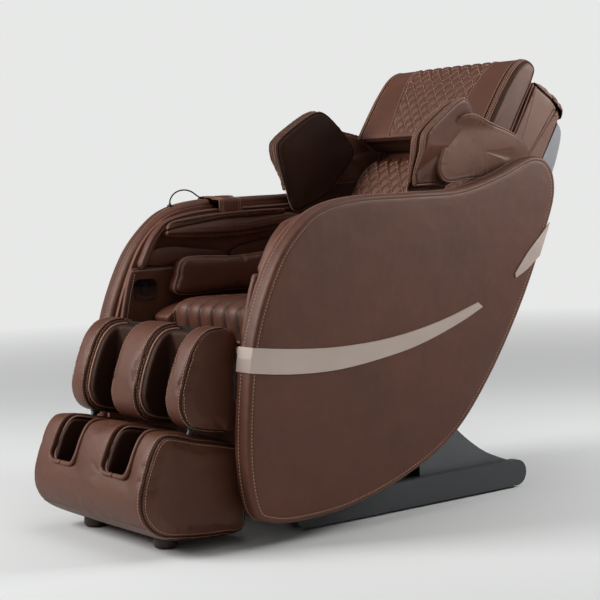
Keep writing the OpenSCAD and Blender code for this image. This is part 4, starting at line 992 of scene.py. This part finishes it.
# %% [markdown]
# ## The back
# The back cushion is quilted in diamonds nearly to its edges, and the quilting narrows towards the hips.
# Under it the massage carriage climbs its racks, so the cushion stays thin. It is swept from side to
# side like the seat, and the sewing lines of the diamonds are laid on it as rows of real stitches.

# %% Quilt the back
BACK_H, BACK_HALF, BACK_D = 654.0, 250.0, 142.0
BACK_DIAMOND = (46, 54)  # width and height of one diamond


def diamond_lines(half, pitch_x, pitch_z, low, high, y):
    """The sewing lines of the diamonds, on the upright drawing; half may depend on the height."""
    wide, lines = np.linspace(-1, 1, 241), []
    reach = int(2 + half(high) / pitch_x + high / pitch_z)
    for k in range(-reach, reach + 1):
        for side in (1, -1):
            x = wide * half(high)
            z = (k - side * x / pitch_x) * pitch_z
            keep = (z > low) & (z < high) & (np.abs(x) < half(z))
            if keep.sum() > 3:
                lines.append((on_back(np.column_stack([x, np.full(len(x), y), z])[keep]), False))
    return lines


def quilted(piece, half, pitch_x, pitch_z, depth, low, high, facing_rule):
    """Press diamonds into the part of a piece within half of its middle, between two heights up the back."""
    p, n = points_of(piece), normals_of(piece)
    local = up_back(p)
    height = local[:, 2]
    mask = np.clip((half(height) - np.abs(p[:, 0])) / 4, 0, 1) * np.clip((height - low) / 8, 0, 1) \
        * np.clip((high - height) / 8, 0, 1) * facing_rule(local)
    top = diamonds(local[:, 0] / pitch_x, height / pitch_z)
    move(piece, p + (mask * (0.35 * depth - depth * top**4))[:, None] * n)
    # Painted shade along the diamond lines.
    paint_shade_depth(piece, 0.8 * mask * top**12)


back_profile = loop([
    (-16, -22), (-40, 30), (-54, 140), (-54, 290), (-42, 376), (-16, 418), (-2, 446), (-1, 560),
    (4, BACK_H - 22), (20, BACK_H - 8), (30, BACK_H - 40), (30, 400), (30, 120), (30, 10), (10, -30),
], 4.5)
back_square = inwards(back_profile)
pad_half = BACK_HALF - 12.3


def back_ring(x):
    """The cushion's section at x, turned in over the last 40 mm."""
    e = (pad_half - abs(x)) / 40
    d = 7 * (1 - e) ** 2.2 if e < 1 else 0
    q = back_profile + d * back_square
    return on_back(at_x(x, q))


back = ringed("back_leather", [back_ring(x) for x in np.linspace(-pad_half, pad_half, 141)], inner=5)


def back_edge(z):
    """Half width of the quilted middle of the back: it narrows towards the hips."""
    return 231 - 80 * np.clip((120 - z) / 130, 0, 1) ** 2


quilted(back, back_edge, *BACK_DIAMOND, 7.0, -10, 420, lambda local: np.clip((-local[:, 1] - 8) / 8, 0, 1))
for s in (-1, 1):
    line = on_back([(s * (back_edge(z) + 4), -50, z) for z in range(-20, 426, 8)])
    sew(back, line, 4.5, 4.5)
back_skin = skin_of(back)
finished(back, brown, "back", "back_pad", fill=0.7)
back_lines = [(on_back([(s * (back_edge(z) + 11), -50, z) for z in range(-20, 426, 6)]), False)
              for s in (-1, 1)]
back_lines += diamond_lines(back_edge, *BACK_DIAMOND, -6, 412, -56)
finished(thread("back_thread", back_skin, back_lines), stitching, "back")
print("back", len(back.data.vertices), "points,", len(back_lines), "rows of stitches")

# %% [markdown]
# ## The head pillow
# The pillow hangs over the top of the back. Two slanting seams part its quilted middle from plain ends, and
# its right and left ends are closed by thick gussets with rows of stitching.

# %% Stuff the pillow
PILLOW_LOW, PILLOW_T, PILLOW_HALF = 434.0, 88.0, 272.0
PILLOW_DIAMOND = (40, 44)
pillow_profile = loop([
    (-62, PILLOW_LOW + 4), (-PILLOW_T + 3, PILLOW_LOW), (-PILLOW_T - 6, PILLOW_LOW + 9),
    (-PILLOW_T - 8, PILLOW_LOW + 40), (-PILLOW_T - 8, PILLOW_LOW + 90), (-PILLOW_T - 6, PILLOW_LOW + 150),
    (-PILLOW_T + 4, BACK_H - 4), (-60, BACK_H + 32), (-24, BACK_H + 30),
    (-12, BACK_H - 6), (-11, PILLOW_LOW + 120), (-11, PILLOW_LOW + 24), (-26, PILLOW_LOW + 4),
], 4)
pillow_square = inwards(pillow_profile)


def pillow_ring(x):
    """The pillow's section at x: a little fuller in the middle, turned in at the ends."""
    e = (PILLOW_HALF - abs(x)) / 24
    d = 13 * (1 - e) ** 3.2 if e < 1 else -2 * (1 - abs(x) / PILLOW_HALF)
    return on_back(at_x(x, pillow_profile + d * pillow_square))


pillow = ringed("pillow_leather", [pillow_ring(x) for x in np.linspace(-PILLOW_HALF, PILLOW_HALF, 161)],
                inner=6, crown=(2, 2))


def pillow_edge(z):
    """Half width of the quilted middle: the seams slant outwards towards the top."""
    return 118 + (z - PILLOW_LOW) * 0.16


points, normal = points_of(pillow), normals_of(pillow)
local = up_back(points)
mask = np.clip((pillow_edge(local[:, 2]) - np.abs(local[:, 0])) / 4, 0, 1) \
    * np.clip((-local[:, 1] - 30) / 10, 0, 1) * np.clip((local[:, 2] - PILLOW_LOW - 12) / 10, 0, 1)
top = diamonds(local[:, 0] / PILLOW_DIAMOND[0], local[:, 2] / PILLOW_DIAMOND[1])
move(pillow, points + (mask * (1.6 - 5.6 * top**4))[:, None] * normal)
# Painted shadow under the pillow's overhang, kept with the painted shade of the seams.
shadow_under_pillow = np.clip((PILLOW_LOW + 7 - local[:, 2]) / 5, 0, 1) * np.clip((local[:, 1] + 88) / 6, 0, 1)
paint_shade_depth(pillow, np.maximum(0.8 * mask * top**12, shadow_under_pillow))
slants = []
for s in (-1, 1):
    run_up = [(s * pillow_edge(z), -PILLOW_T - 8 + max(0, (z - 640)) * 0.55, z) for z in range(446, 684, 6)]
    slants.append(on_back(run_up))
    sew(pillow, slants[-1], 4.0, 3.6)
gusset_lines = []
for s in (-1, 1):
    for x, d in ((PILLOW_HALF - 26, 0), (PILLOW_HALF - 3, 7)):
        line = on_back(at_x(s * x, pillow_profile + d * pillow_square))
        gusset_lines.append(line)
        sew(pillow, line, 3.2, 1.8, closed=True)
pillow_skin = skin_of(pillow)
finished(pillow, brown, "head_pillow", "pillow", fill=0.8)
both_sides = []
for s, line in zip((-1, 1), slants):
    both_sides += [(line + [s * 6, 0, 0], False), (line - [s * 6, 0, 0], False)]
for s in (-1, 1):
    for x, d in ((PILLOW_HALF - 31, 0), (PILLOW_HALF - 21, 0.2), (PILLOW_HALF - 14, 1), (PILLOW_HALF - 8, 3)):
        both_sides.append((on_back(at_x(s * x, pillow_profile + d * pillow_square)), True))
both_sides += diamond_lines(pillow_edge, *PILLOW_DIAMOND, PILLOW_LOW + 16, 676, -PILLOW_T - 8)
finished(thread("pillow_thread", pillow_skin, both_sides), stitching, "head_pillow")
hem = on_back([(x, -PILLOW_T - 4, PILLOW_LOW + 3) for x in range(-262, 263, 6)])
piped = [(line, True) for line in gusset_lines] + [(hem, False)]
finished(piping("pillow_piping", pillow_skin, piped, 2.2), lining_and_shade, "head_pillow")
print("pillow", len(pillow.data.vertices), "points")

# %% [markdown]
# ## The sides and top of the back
# Behind the cushion each side of the back is a plain panel of the brown leather, made paler as a painted
# sheen.
# Strips of leather are layered in front of it, and a flap is gathered over the top edge. The gathers are two
# ripples of different length, deepest at the rear, where the flap is drawn down.

# %% Side panels, strips and flap of the back
panel_template = [
    (2, 40), (0, BACK_H - 22), (10, BACK_H - 4), (24, BACK_H), (BACK_D - 16, BACK_H),
    (BACK_D - 2, BACK_H - 24), (BACK_D, BACK_H - 150), (BACK_D, 120), (BACK_D - 30, 50), (60, 20),
]
panel_outline = np.array(panel_template + panel_template[:1], float)[::-1]
panel_loop = anticlockwise(even(panel_outline, 5, False)[:-1])
panel_square = inwards(panel_loop)
panel_stations = ((-12, 1.5), (-8, 0), (-3, 0.4), (-0.6, 2.4), (0, 5), (0.5, 12), (1, 26))
for sign, tag in SIDES:
    rings = [on_back(at_x(sign * (BACK_HALF + x), panel_loop + d * panel_square)) for x, d in panel_stations]
    panel = ringed("back_side_leather_" + tag, rings, inner=5, crown=(0, 1.5))
    skin = skin_of(panel)
    # The side panels take the paler copy of the brown, a painted sheen.
    finished(panel, painted_sheen, "back", *(["back_sides"] if sign == 1 else []), fill=0.9)
    seam_line = on_back(at_x(sign * BACK_HALF, panel_loop + 9 * panel_square))
    finished(thread("back_side_thread_" + tag, skin, [(seam_line, True)]), stitching, "back")
    strips = []
    for y, x in ((-4, 251), (6, 253), (16, 252.5)):
        strips.append((on_back([(sign * (x + 1.2 * math.sin(z / 37 + y)), y + 2 * math.sin(z / 61), z)
                                for z in range(330, 652, 6)]), False))
    finished(piping("back_strip_" + tag, None, strips, 3.6), brown, "back")

flap_low = [
    (6, BACK_H + 0.5), (26, BACK_H + 0.5), (60, BACK_H + 0.5), (100, BACK_H + 0.5), (128, BACK_H + 0.5),
    (BACK_D + 0.6, BACK_H - 26),
]
flap_high = [
    (BACK_D + 6, BACK_H - 22), (BACK_D + 4, BACK_H - 6), (BACK_D - 6, BACK_H + 6), (110, BACK_H + 13),
    (70, BACK_H + 16), (30, BACK_H + 13), (8, BACK_H + 3),
]
flap_loop = loop(flap_low + flap_high, 5)
flap_square = inwards(flap_loop)


def flap_ring(x):
    """The flap's section at x, turned in a little at its very ends."""
    d = 4 if abs(x) > 249 else 1 if abs(x) > 245 else 0
    return on_back(at_x(x, flap_loop + d * flap_square))


flap = ringed("back_flap_leather", [flap_ring(x) for x in np.linspace(-252, 252, 169)], inner=2)
points, normal = points_of(flap), normals_of(flap)
local = up_back(points)
fold = noise_along(points[:, 0] + 400 + 0.5 * local[:, 1], 21, 34) * 3.6 \
    + noise_along(points[:, 0] + 900 - 0.4 * local[:, 1], 4, 15) * 1.8
up = np.clip((local[:, 2] - BACK_H + 30) / 30, 0, 1) \
    * np.clip((local[:, 2] - BACK_H - 4) / 6 + (local[:, 1] > 132), 0, 1)
gather = 0.35 + 0.65 * np.clip((local[:, 1] - 60) / 60, 0, 1)
move(flap, points + ((fold - 1.0) * up * gather)[:, None] * normal)
finished(flap, brown, "back", "back_flap", fill=0.4)
print("back dressed")

# %% [markdown]
# ## The shoulder wings
# Each wing is a stack of three air pads that press on the shoulder. The stack starts on one flared plane,
# and each pad is a template drawn at growing distances from that plane, so the pads lie close on each other.
# When the back reclines, the wings pass between the sides and beside the arm rolls, so limits draw the pads
# in wherever there is less room. A gathered seam and piping run round both faces of every pad.

# %% Stack the wings
wing_points = [
    (94, 940), (112, 966), (160, 1000), (220, 1034), (252, 1038), (274, 1022), (300, 990), (329, 940),
    (328, 910), (288, 862), (226, 800), (160, 770), (122, 760), (108, 780), (100, 822), (95, 880),
]
outer_points = [
    (178, 850), (176, 890), (198, 940), (228, 990), (274, 1000), (332, 986), (442, 954), (506, 920),
    (522, 896), (500, 868), (390, 838), (274, 832), (206, 828),
]
wing_loops = [loop(wing_points, 6), loop([(y + 5, max(z + 3, 822)) for y, z in wing_points], 6),
              loop(outer_points, 6)]
STACK = 84.0


def wing_face(q):
    """How far from the middle the stack starts; it flares forwards and upwards."""
    return 228 + 0.213 * (334 - q[:, 0]) + 0.2 * (q[:, 1] - 927)


def larger(a, b, soft=0.0):
    """The larger of two values, with a soft change from one to the other."""
    return 0.5 * (a + b + np.sqrt((a - b) ** 2 + soft * soft))


def wing_limit(q, soft=0.0):
    """How far out the pads may reach: between the side boards, and further above the armrest."""
    rise = larger(q[:, 1] - 968, ((q[:, 1] - 819) - 0.96 * (q[:, 0] - 100)) / 1.39 - 20, soft)
    return BOARD_X - 1 + 1.35 * larger(0, rise, soft)


def wing_share(q):
    """How much of the stack's full thickness there is room for."""
    return np.minimum(1, (wing_limit(q) - wing_face(q)) / STACK)


def wing_inner_share(q):
    """The same for the inner pad, which also stays inside the arm rolls."""
    room = 258 - 1.4 + np.maximum(0, q[:, 1] - 820) - wing_face(q)
    return np.minimum(wing_share(q), room / (STACK / 3))


def wing_root(q):
    """Where the outer pad starts: on the middle pad, or beside the back and the pillow."""
    back_y = up_back(np.column_stack([np.zeros(len(q)), q]))[:, 1]
    seat_on = BACK_HALF + (PILLOW_HALF + 1.6 - BACK_HALF) * np.minimum(1, np.maximum(0, 64 - back_y) / 66)
    return larger(wing_face(q) + STACK * 2 / 3 * wing_share(q), seat_on, 14)


def wing_out(q):
    """Where the outer pad ends: inside the sides, as they stand at full recline."""
    return -larger(4 - wing_limit(q, 10), -(296 + 0.35 * (q[:, 1] - 885) - 0.06 * (q[:, 0] - 178)), 16)


def wing_ring(layer, s, d, sign):
    """A ring of one pad, s from its inner face at 0 to its outer face at 1, drawn in by d."""
    q = shrunk(wing_loops[layer], d)
    if layer == 2:
        root = wing_root(q)
        x = root + s * larger(7, wing_out(q) - root, 12)
    else:
        share = wing_inner_share(q) if layer == 0 else wing_share(q)
        x = wing_face(q) + (layer * STACK / 3 + s * (STACK / 3 - 0.5)) * share
    return np.column_stack([sign * x, q])


edge = [(0.5 - 0.5 * math.cos(a), 17 * (1 - math.sin(a)) ** 1.1) for a in np.linspace(0, math.pi, 13)]
outer_face = [(1.02, 23), (1.04, 30), (1.06, 38), (1.07, 46), (1.08, 54), (1.08, 62)]
for sign, tag in SIDES:
    for layer, label in enumerate(("inner", "middle", "outer")):
        rings = [wing_ring(layer, s, d, sign) for s, d in edge + (outer_face if layer == 2 else [])]
        pad = ringed("wing_" + label + "_" + tag, rings, inner=8, crown=(9.0 if layer == 0 else 0.5, 0.5))
        front_rim = wing_ring(layer, 0.14, 3, sign)
        back_rim = wing_ring(layer, 0.86, 3, sign)
        sew(pad, front_rim, 3.0, 2.8, pucker=1.6, wave=17, reach=16, closed=True, seed=layer + 2)
        sew(pad, back_rim, 3.0, 2.0, pucker=1.3, wave=19, reach=12, closed=True, seed=layer + 12)
        skin = skin_of(pad)
        # The outer pads take the paler copy of the brown, a painted sheen; the far wing's inner and middle
        # pads take the dark lining leather as painted shade.
        finished(pad, painted_sheen if layer == 2 else lining_and_shade if sign < 0 else brown, "back",
                 *(["wing_" + tag] if layer == 0 else []), fill=0.85)
        stitch_rows = [(wing_ring(layer, s, 0.4, sign), True) for s in (0.32, 0.68)]
        finished(thread("wing_thread_" + label + "_" + tag, skin, stitch_rows), stitching, "back")
        # Piping takes the paler copy of the brown, a painted sheen, but the far wing's inner piping takes the
        # dark lining leather as painted shade.
        finished(piping("wing_piping_" + label + "_" + tag, skin, [(front_rim, True), (back_rim, True)], 2.1),
                 lining_and_shade if sign < 0 and layer == 0 else painted_sheen, "back")
print("wings stacked")

# %% [markdown]
# ## The calf pads
# Three tall pads part the two calf troughs. Each has a wide front band between two seams, with piping
# where the band meets the sides, and the troughs between them are lined with darker leather.

# %% Calf pads and their lining
calf_front = [(-480, 514), (-505, 513), (-532, 504), (-562, 474), (-584, 430), (-600, 385), (-607, 348),
              (-599, 313), (-575, 288), (-530, 275), (-480, 267)]
CALF_HALF, CALF_OUTER, CALF_MID = 258.0, 68.0, 58.0
calf_line = path(calf_front, 6)
calf = soft_copy("calf_blocks", "calf_pad_leather", 5, 5, 1.2)
calf = stuffed(calf, 3.0, 5.0, 16)
bands = []
for x0, x1 in ((-CALF_HALF, -CALF_HALF + CALF_OUTER), (-CALF_MID, CALF_MID),
               (CALF_HALF - CALF_OUTER, CALF_HALF)):
    for x in (x0 + 3, x1 - 3):
        bands.append(at_x(x, calf_line + [3, 0]))
for k, band in enumerate(bands):
    sew(calf, band, 3.2, 2.2, pucker=0.7, wave=18, reach=8, seed=k)
calf_skin = skin_of(calf)
finished(calf, brown, "leg", "calf_blocks", fill=0.8)
calf_threads = []
for k, band in enumerate(bands):
    inward = 1 if k % 2 == 0 else -1
    calf_threads.append((band + [inward * 6.5, 0, 0], False))
    calf_threads.append((band + [inward * 1.0, 9, 0], False))
finished(thread("calf_thread", calf_skin, calf_threads), stitching, "leg")
finished(piping("calf_piping", calf_skin, [(band, False) for band in bands], 2.0), lining_and_shade, "leg")

lining = soft_copy("calf_liners", "calf_lining_leather", 5, 5, 0.8)
lining_skin = skin_of(lining)
finished(lining, lining_and_shade, "leg", "calf_liners", fill=0.5)
WELL_IN, WELL_OUT = CALF_MID + 6, CALF_HALF - CALF_OUTER - 4
lips = [(at_x(s * x, calf_line + [12, 0]), False) for s in (-1, 1) for x in (CALF_MID + 4, WELL_OUT)]
finished(piping("calf_lining_piping", lining_skin, lips, 2.6, 0.8), pale, "leg")
print("calf pads", len(calf.data.vertices), "points")

# %% [markdown]
# ## The foot unit
# One padded body with two wells for the feet. The front is a single smooth panel that turns into the wells,
# so it is copied from its solid, and its side seams and bottom seam are sewn in afterwards. A padded lip
# is then laid round each well, with a pale piping inside it where the lining starts.

# %% Foot unit and its wells
FOOT_HALF = 262.0
foot_template = [
    (-424, 150), (-426, 222), (-470, 242), (-560, 263), (-640, 283), (-672, 270), (-697, 228),
    (-720, 165), (-724, 112), (-700, 68), (-655, 42), (-580, 29), (-500, 24), (-436, 34),
]
foot_loop = loop(foot_template, 6)
foot = soft_copy("foot_shell", "foot_unit_leather", 5, 8, 1.6)
foot = stuffed(foot, 3.0, 5.0, 16)
foot_square = inwards(foot_loop)
foot_seams = [at_x(s * (FOOT_HALF - 7), foot_loop + 5 * foot_square) for s in (-1, 1)]
for seam_line in foot_seams:
    sew(foot, seam_line, 3.4, 2.4, pucker=0.6, wave=16, reach=8, closed=True, seed=7)
bottom = path([(x, -706, 72) for x in range(-252, 253, 12)], 6)
sew(foot, bottom, 3.2, 2.0)
foot_skin = skin_of(foot)
finished(foot, brown, "foot", "foot_shell", fill=0.85)
foot_threads = []
for s in (-1, 1):
    foot_threads.append((at_x(s * (FOOT_HALF - 14), foot_loop), True))
    foot_threads.append((at_x(s * (FOOT_HALF - 1), foot_loop + 13 * foot_square), True))
finished(thread("foot_thread", foot_skin, foot_threads), stitching, "foot")
finished(piping("foot_piping", foot_skin, [(line, True) for line in foot_seams], 2.0), lining_and_shade, "foot")
well_side = [
    (-500, 252), (-560, 264), (-620, 279), (-650, 283), (-672, 271), (-690, 243), (-702, 216), (-708, 204),
]
well_corner = ((3, 2, 10), (12, 4, 18), (26, 5, 21))
rims, inner_rims = [], []
for s in (-1, 1):
    for wall, rows in ((1, rims), (-9, inner_rims)):
        x0, x1 = WELL_IN - wall, WELL_OUT + wall
        down = [(s * x0, y, z) for y, z in well_side]
        lip = [(s * (x0 + dx), -710 - dy, 204 - dz) for dx, dy, dz in well_corner]
        far_lip = [(s * (x1 - dx), -710 - dy, 204 - dz) for dx, dy, dz in well_corner[::-1]]
        back_up = [(s * x1, y, z) for y, z in well_side[::-1]]
        inset = [0, 0, 0] if wall > 0 else [0, 9, -3]
        rows.append((path(down + lip + far_lip + back_up, 5) + inset, False))
finished(piping("foot_well_rims", None, rims, 5.5, sides=12), brown, "foot")
finished(piping("foot_well_piping", None, inner_rims, 2.2), pale, "foot")
socks = soft_copy("foot_liners", "foot_lining_leather", 4, 6, 0.8)
finished(socks, lining_and_shade, "foot", "foot_liners", fill=0.5)
print("foot unit", len(foot.data.vertices), "points")

# %% [markdown]
# ## Light and floor
# A plain studio: one large soft lamp high in front on the left, one behind on the right that catches the
# shoulder and the back, and a pale sky that fills the rest. The floor is one pale disc. Far from the chair it
# fades into the background's own colour, so there is no horizon line.

# %% Set the lamps
def lamp(name, place, aim, size, power):
    """A square white lamp, in metres and watts, turned towards a point."""
    data = bpy.data.lights.new(name, "AREA")
    data.shape, data.size, data.energy = "SQUARE", size, power
    obj = bpy.data.objects.new(name, data)
    obj.location = place
    obj.rotation_euler = (Vector(aim) - Vector(place)).to_track_quat("-Z", "Y").to_euler()
    bpy.context.scene.collection.objects.link(obj)


lamp("front_lamp", (-1.7, -3.3, 2.5), (0, -0.2, 0.5), 1.8, 160)
lamp("rear_lamp", (1.5, 2.4, 1.8), (0.3, 0.3, 0.7), 1.1, 58)
lamp("top_lamp", (0.2, 0.2, 3.6), (0, 0, 0.4), 2.6, 30)

backdrop_colour = (0.80, 0.81, 0.80, 1)
floor_colour = (0.72, 0.73, 0.72, 1)
world = bpy.data.worlds.new("studio")
bpy.context.scene.world = world
world.use_nodes = True
sky = world.node_tree
sky.nodes.clear()
rays = sky.nodes.new("ShaderNodeLightPath")
seen = sky.nodes.new("ShaderNodeMath")
seen.operation = "MAXIMUM"
sky.links.new(rays.outputs["Is Camera Ray"], seen.inputs[0])
sky.links.new(rays.outputs["Is Transmission Ray"], seen.inputs[1])
fill, backdrop = sky.nodes.new("ShaderNodeBackground"), sky.nodes.new("ShaderNodeBackground")
for shader, colour, strength in ((fill, (0.97, 0.98, 1.0, 1), 0.20), (backdrop, backdrop_colour, 1.0)):
    shader.inputs[0].default_value, shader.inputs[1].default_value = colour, strength
pick, out = sky.nodes.new("ShaderNodeMixShader"), sky.nodes.new("ShaderNodeOutputWorld")
sky.links.new(seen.outputs[0], pick.inputs[0])
sky.links.new(fill.outputs[0], pick.inputs[1])
sky.links.new(backdrop.outputs[0], pick.inputs[2])
sky.links.new(pick.outputs[0], out.inputs[0])

# %% [markdown]
# The floor is a disc of rings, and its finish is a mix: matt near the chair, where it takes the shadow, and
# the background's own colour far away. The distance from the middle is a length, so the mix needs no camera.

# %% Lay the floor
SPOKES, FLOOR_DROP = 48, 0.2
FADE_FROM, FADE_OVER = 2.2, 3.5  # metres from the middle
ring_points = [(0, 0, 0)]
floor_faces = []
for j, radius in enumerate((1500, 3000, 6000, 14000)):
    for i in range(SPOKES):
        a = 2 * math.pi * i / SPOKES
        ring_points.append((radius * math.cos(a), radius * math.sin(a), 0))
        near, out, k = 1 + SPOKES * (j - 1), 1 + SPOKES * j, (i + 1) % SPOKES
        floor_faces.append((near + i, out + i, out + k, near + k) if j else (0, out + i, out + k))
floor = new_piece("floor", np.array(ring_points, float) - [0, 0, FLOOR_DROP], floor_faces)
f = Finish("studio_floor")
place = f.place()
far = f.node("ShaderNodeVectorMath", {"operation": "LENGTH"}, {0: place}, out=1)
fade = f.clamp((far - FADE_FROM) / FADE_OVER)
matt = f.node("ShaderNodeBsdfDiffuse", None, {0: floor_colour})
open_air = f.node("ShaderNodeEmission", None, {0: backdrop_colour, 1: 1.0})
f.node("ShaderNodeOutputMaterial", None,
       {0: f.node("ShaderNodeMixShader", None, {0: fade, 1: matt, 2: open_air})})
floor.data.materials.append(f.material)
bpy.context.scene.view_settings.view_transform = "Standard"
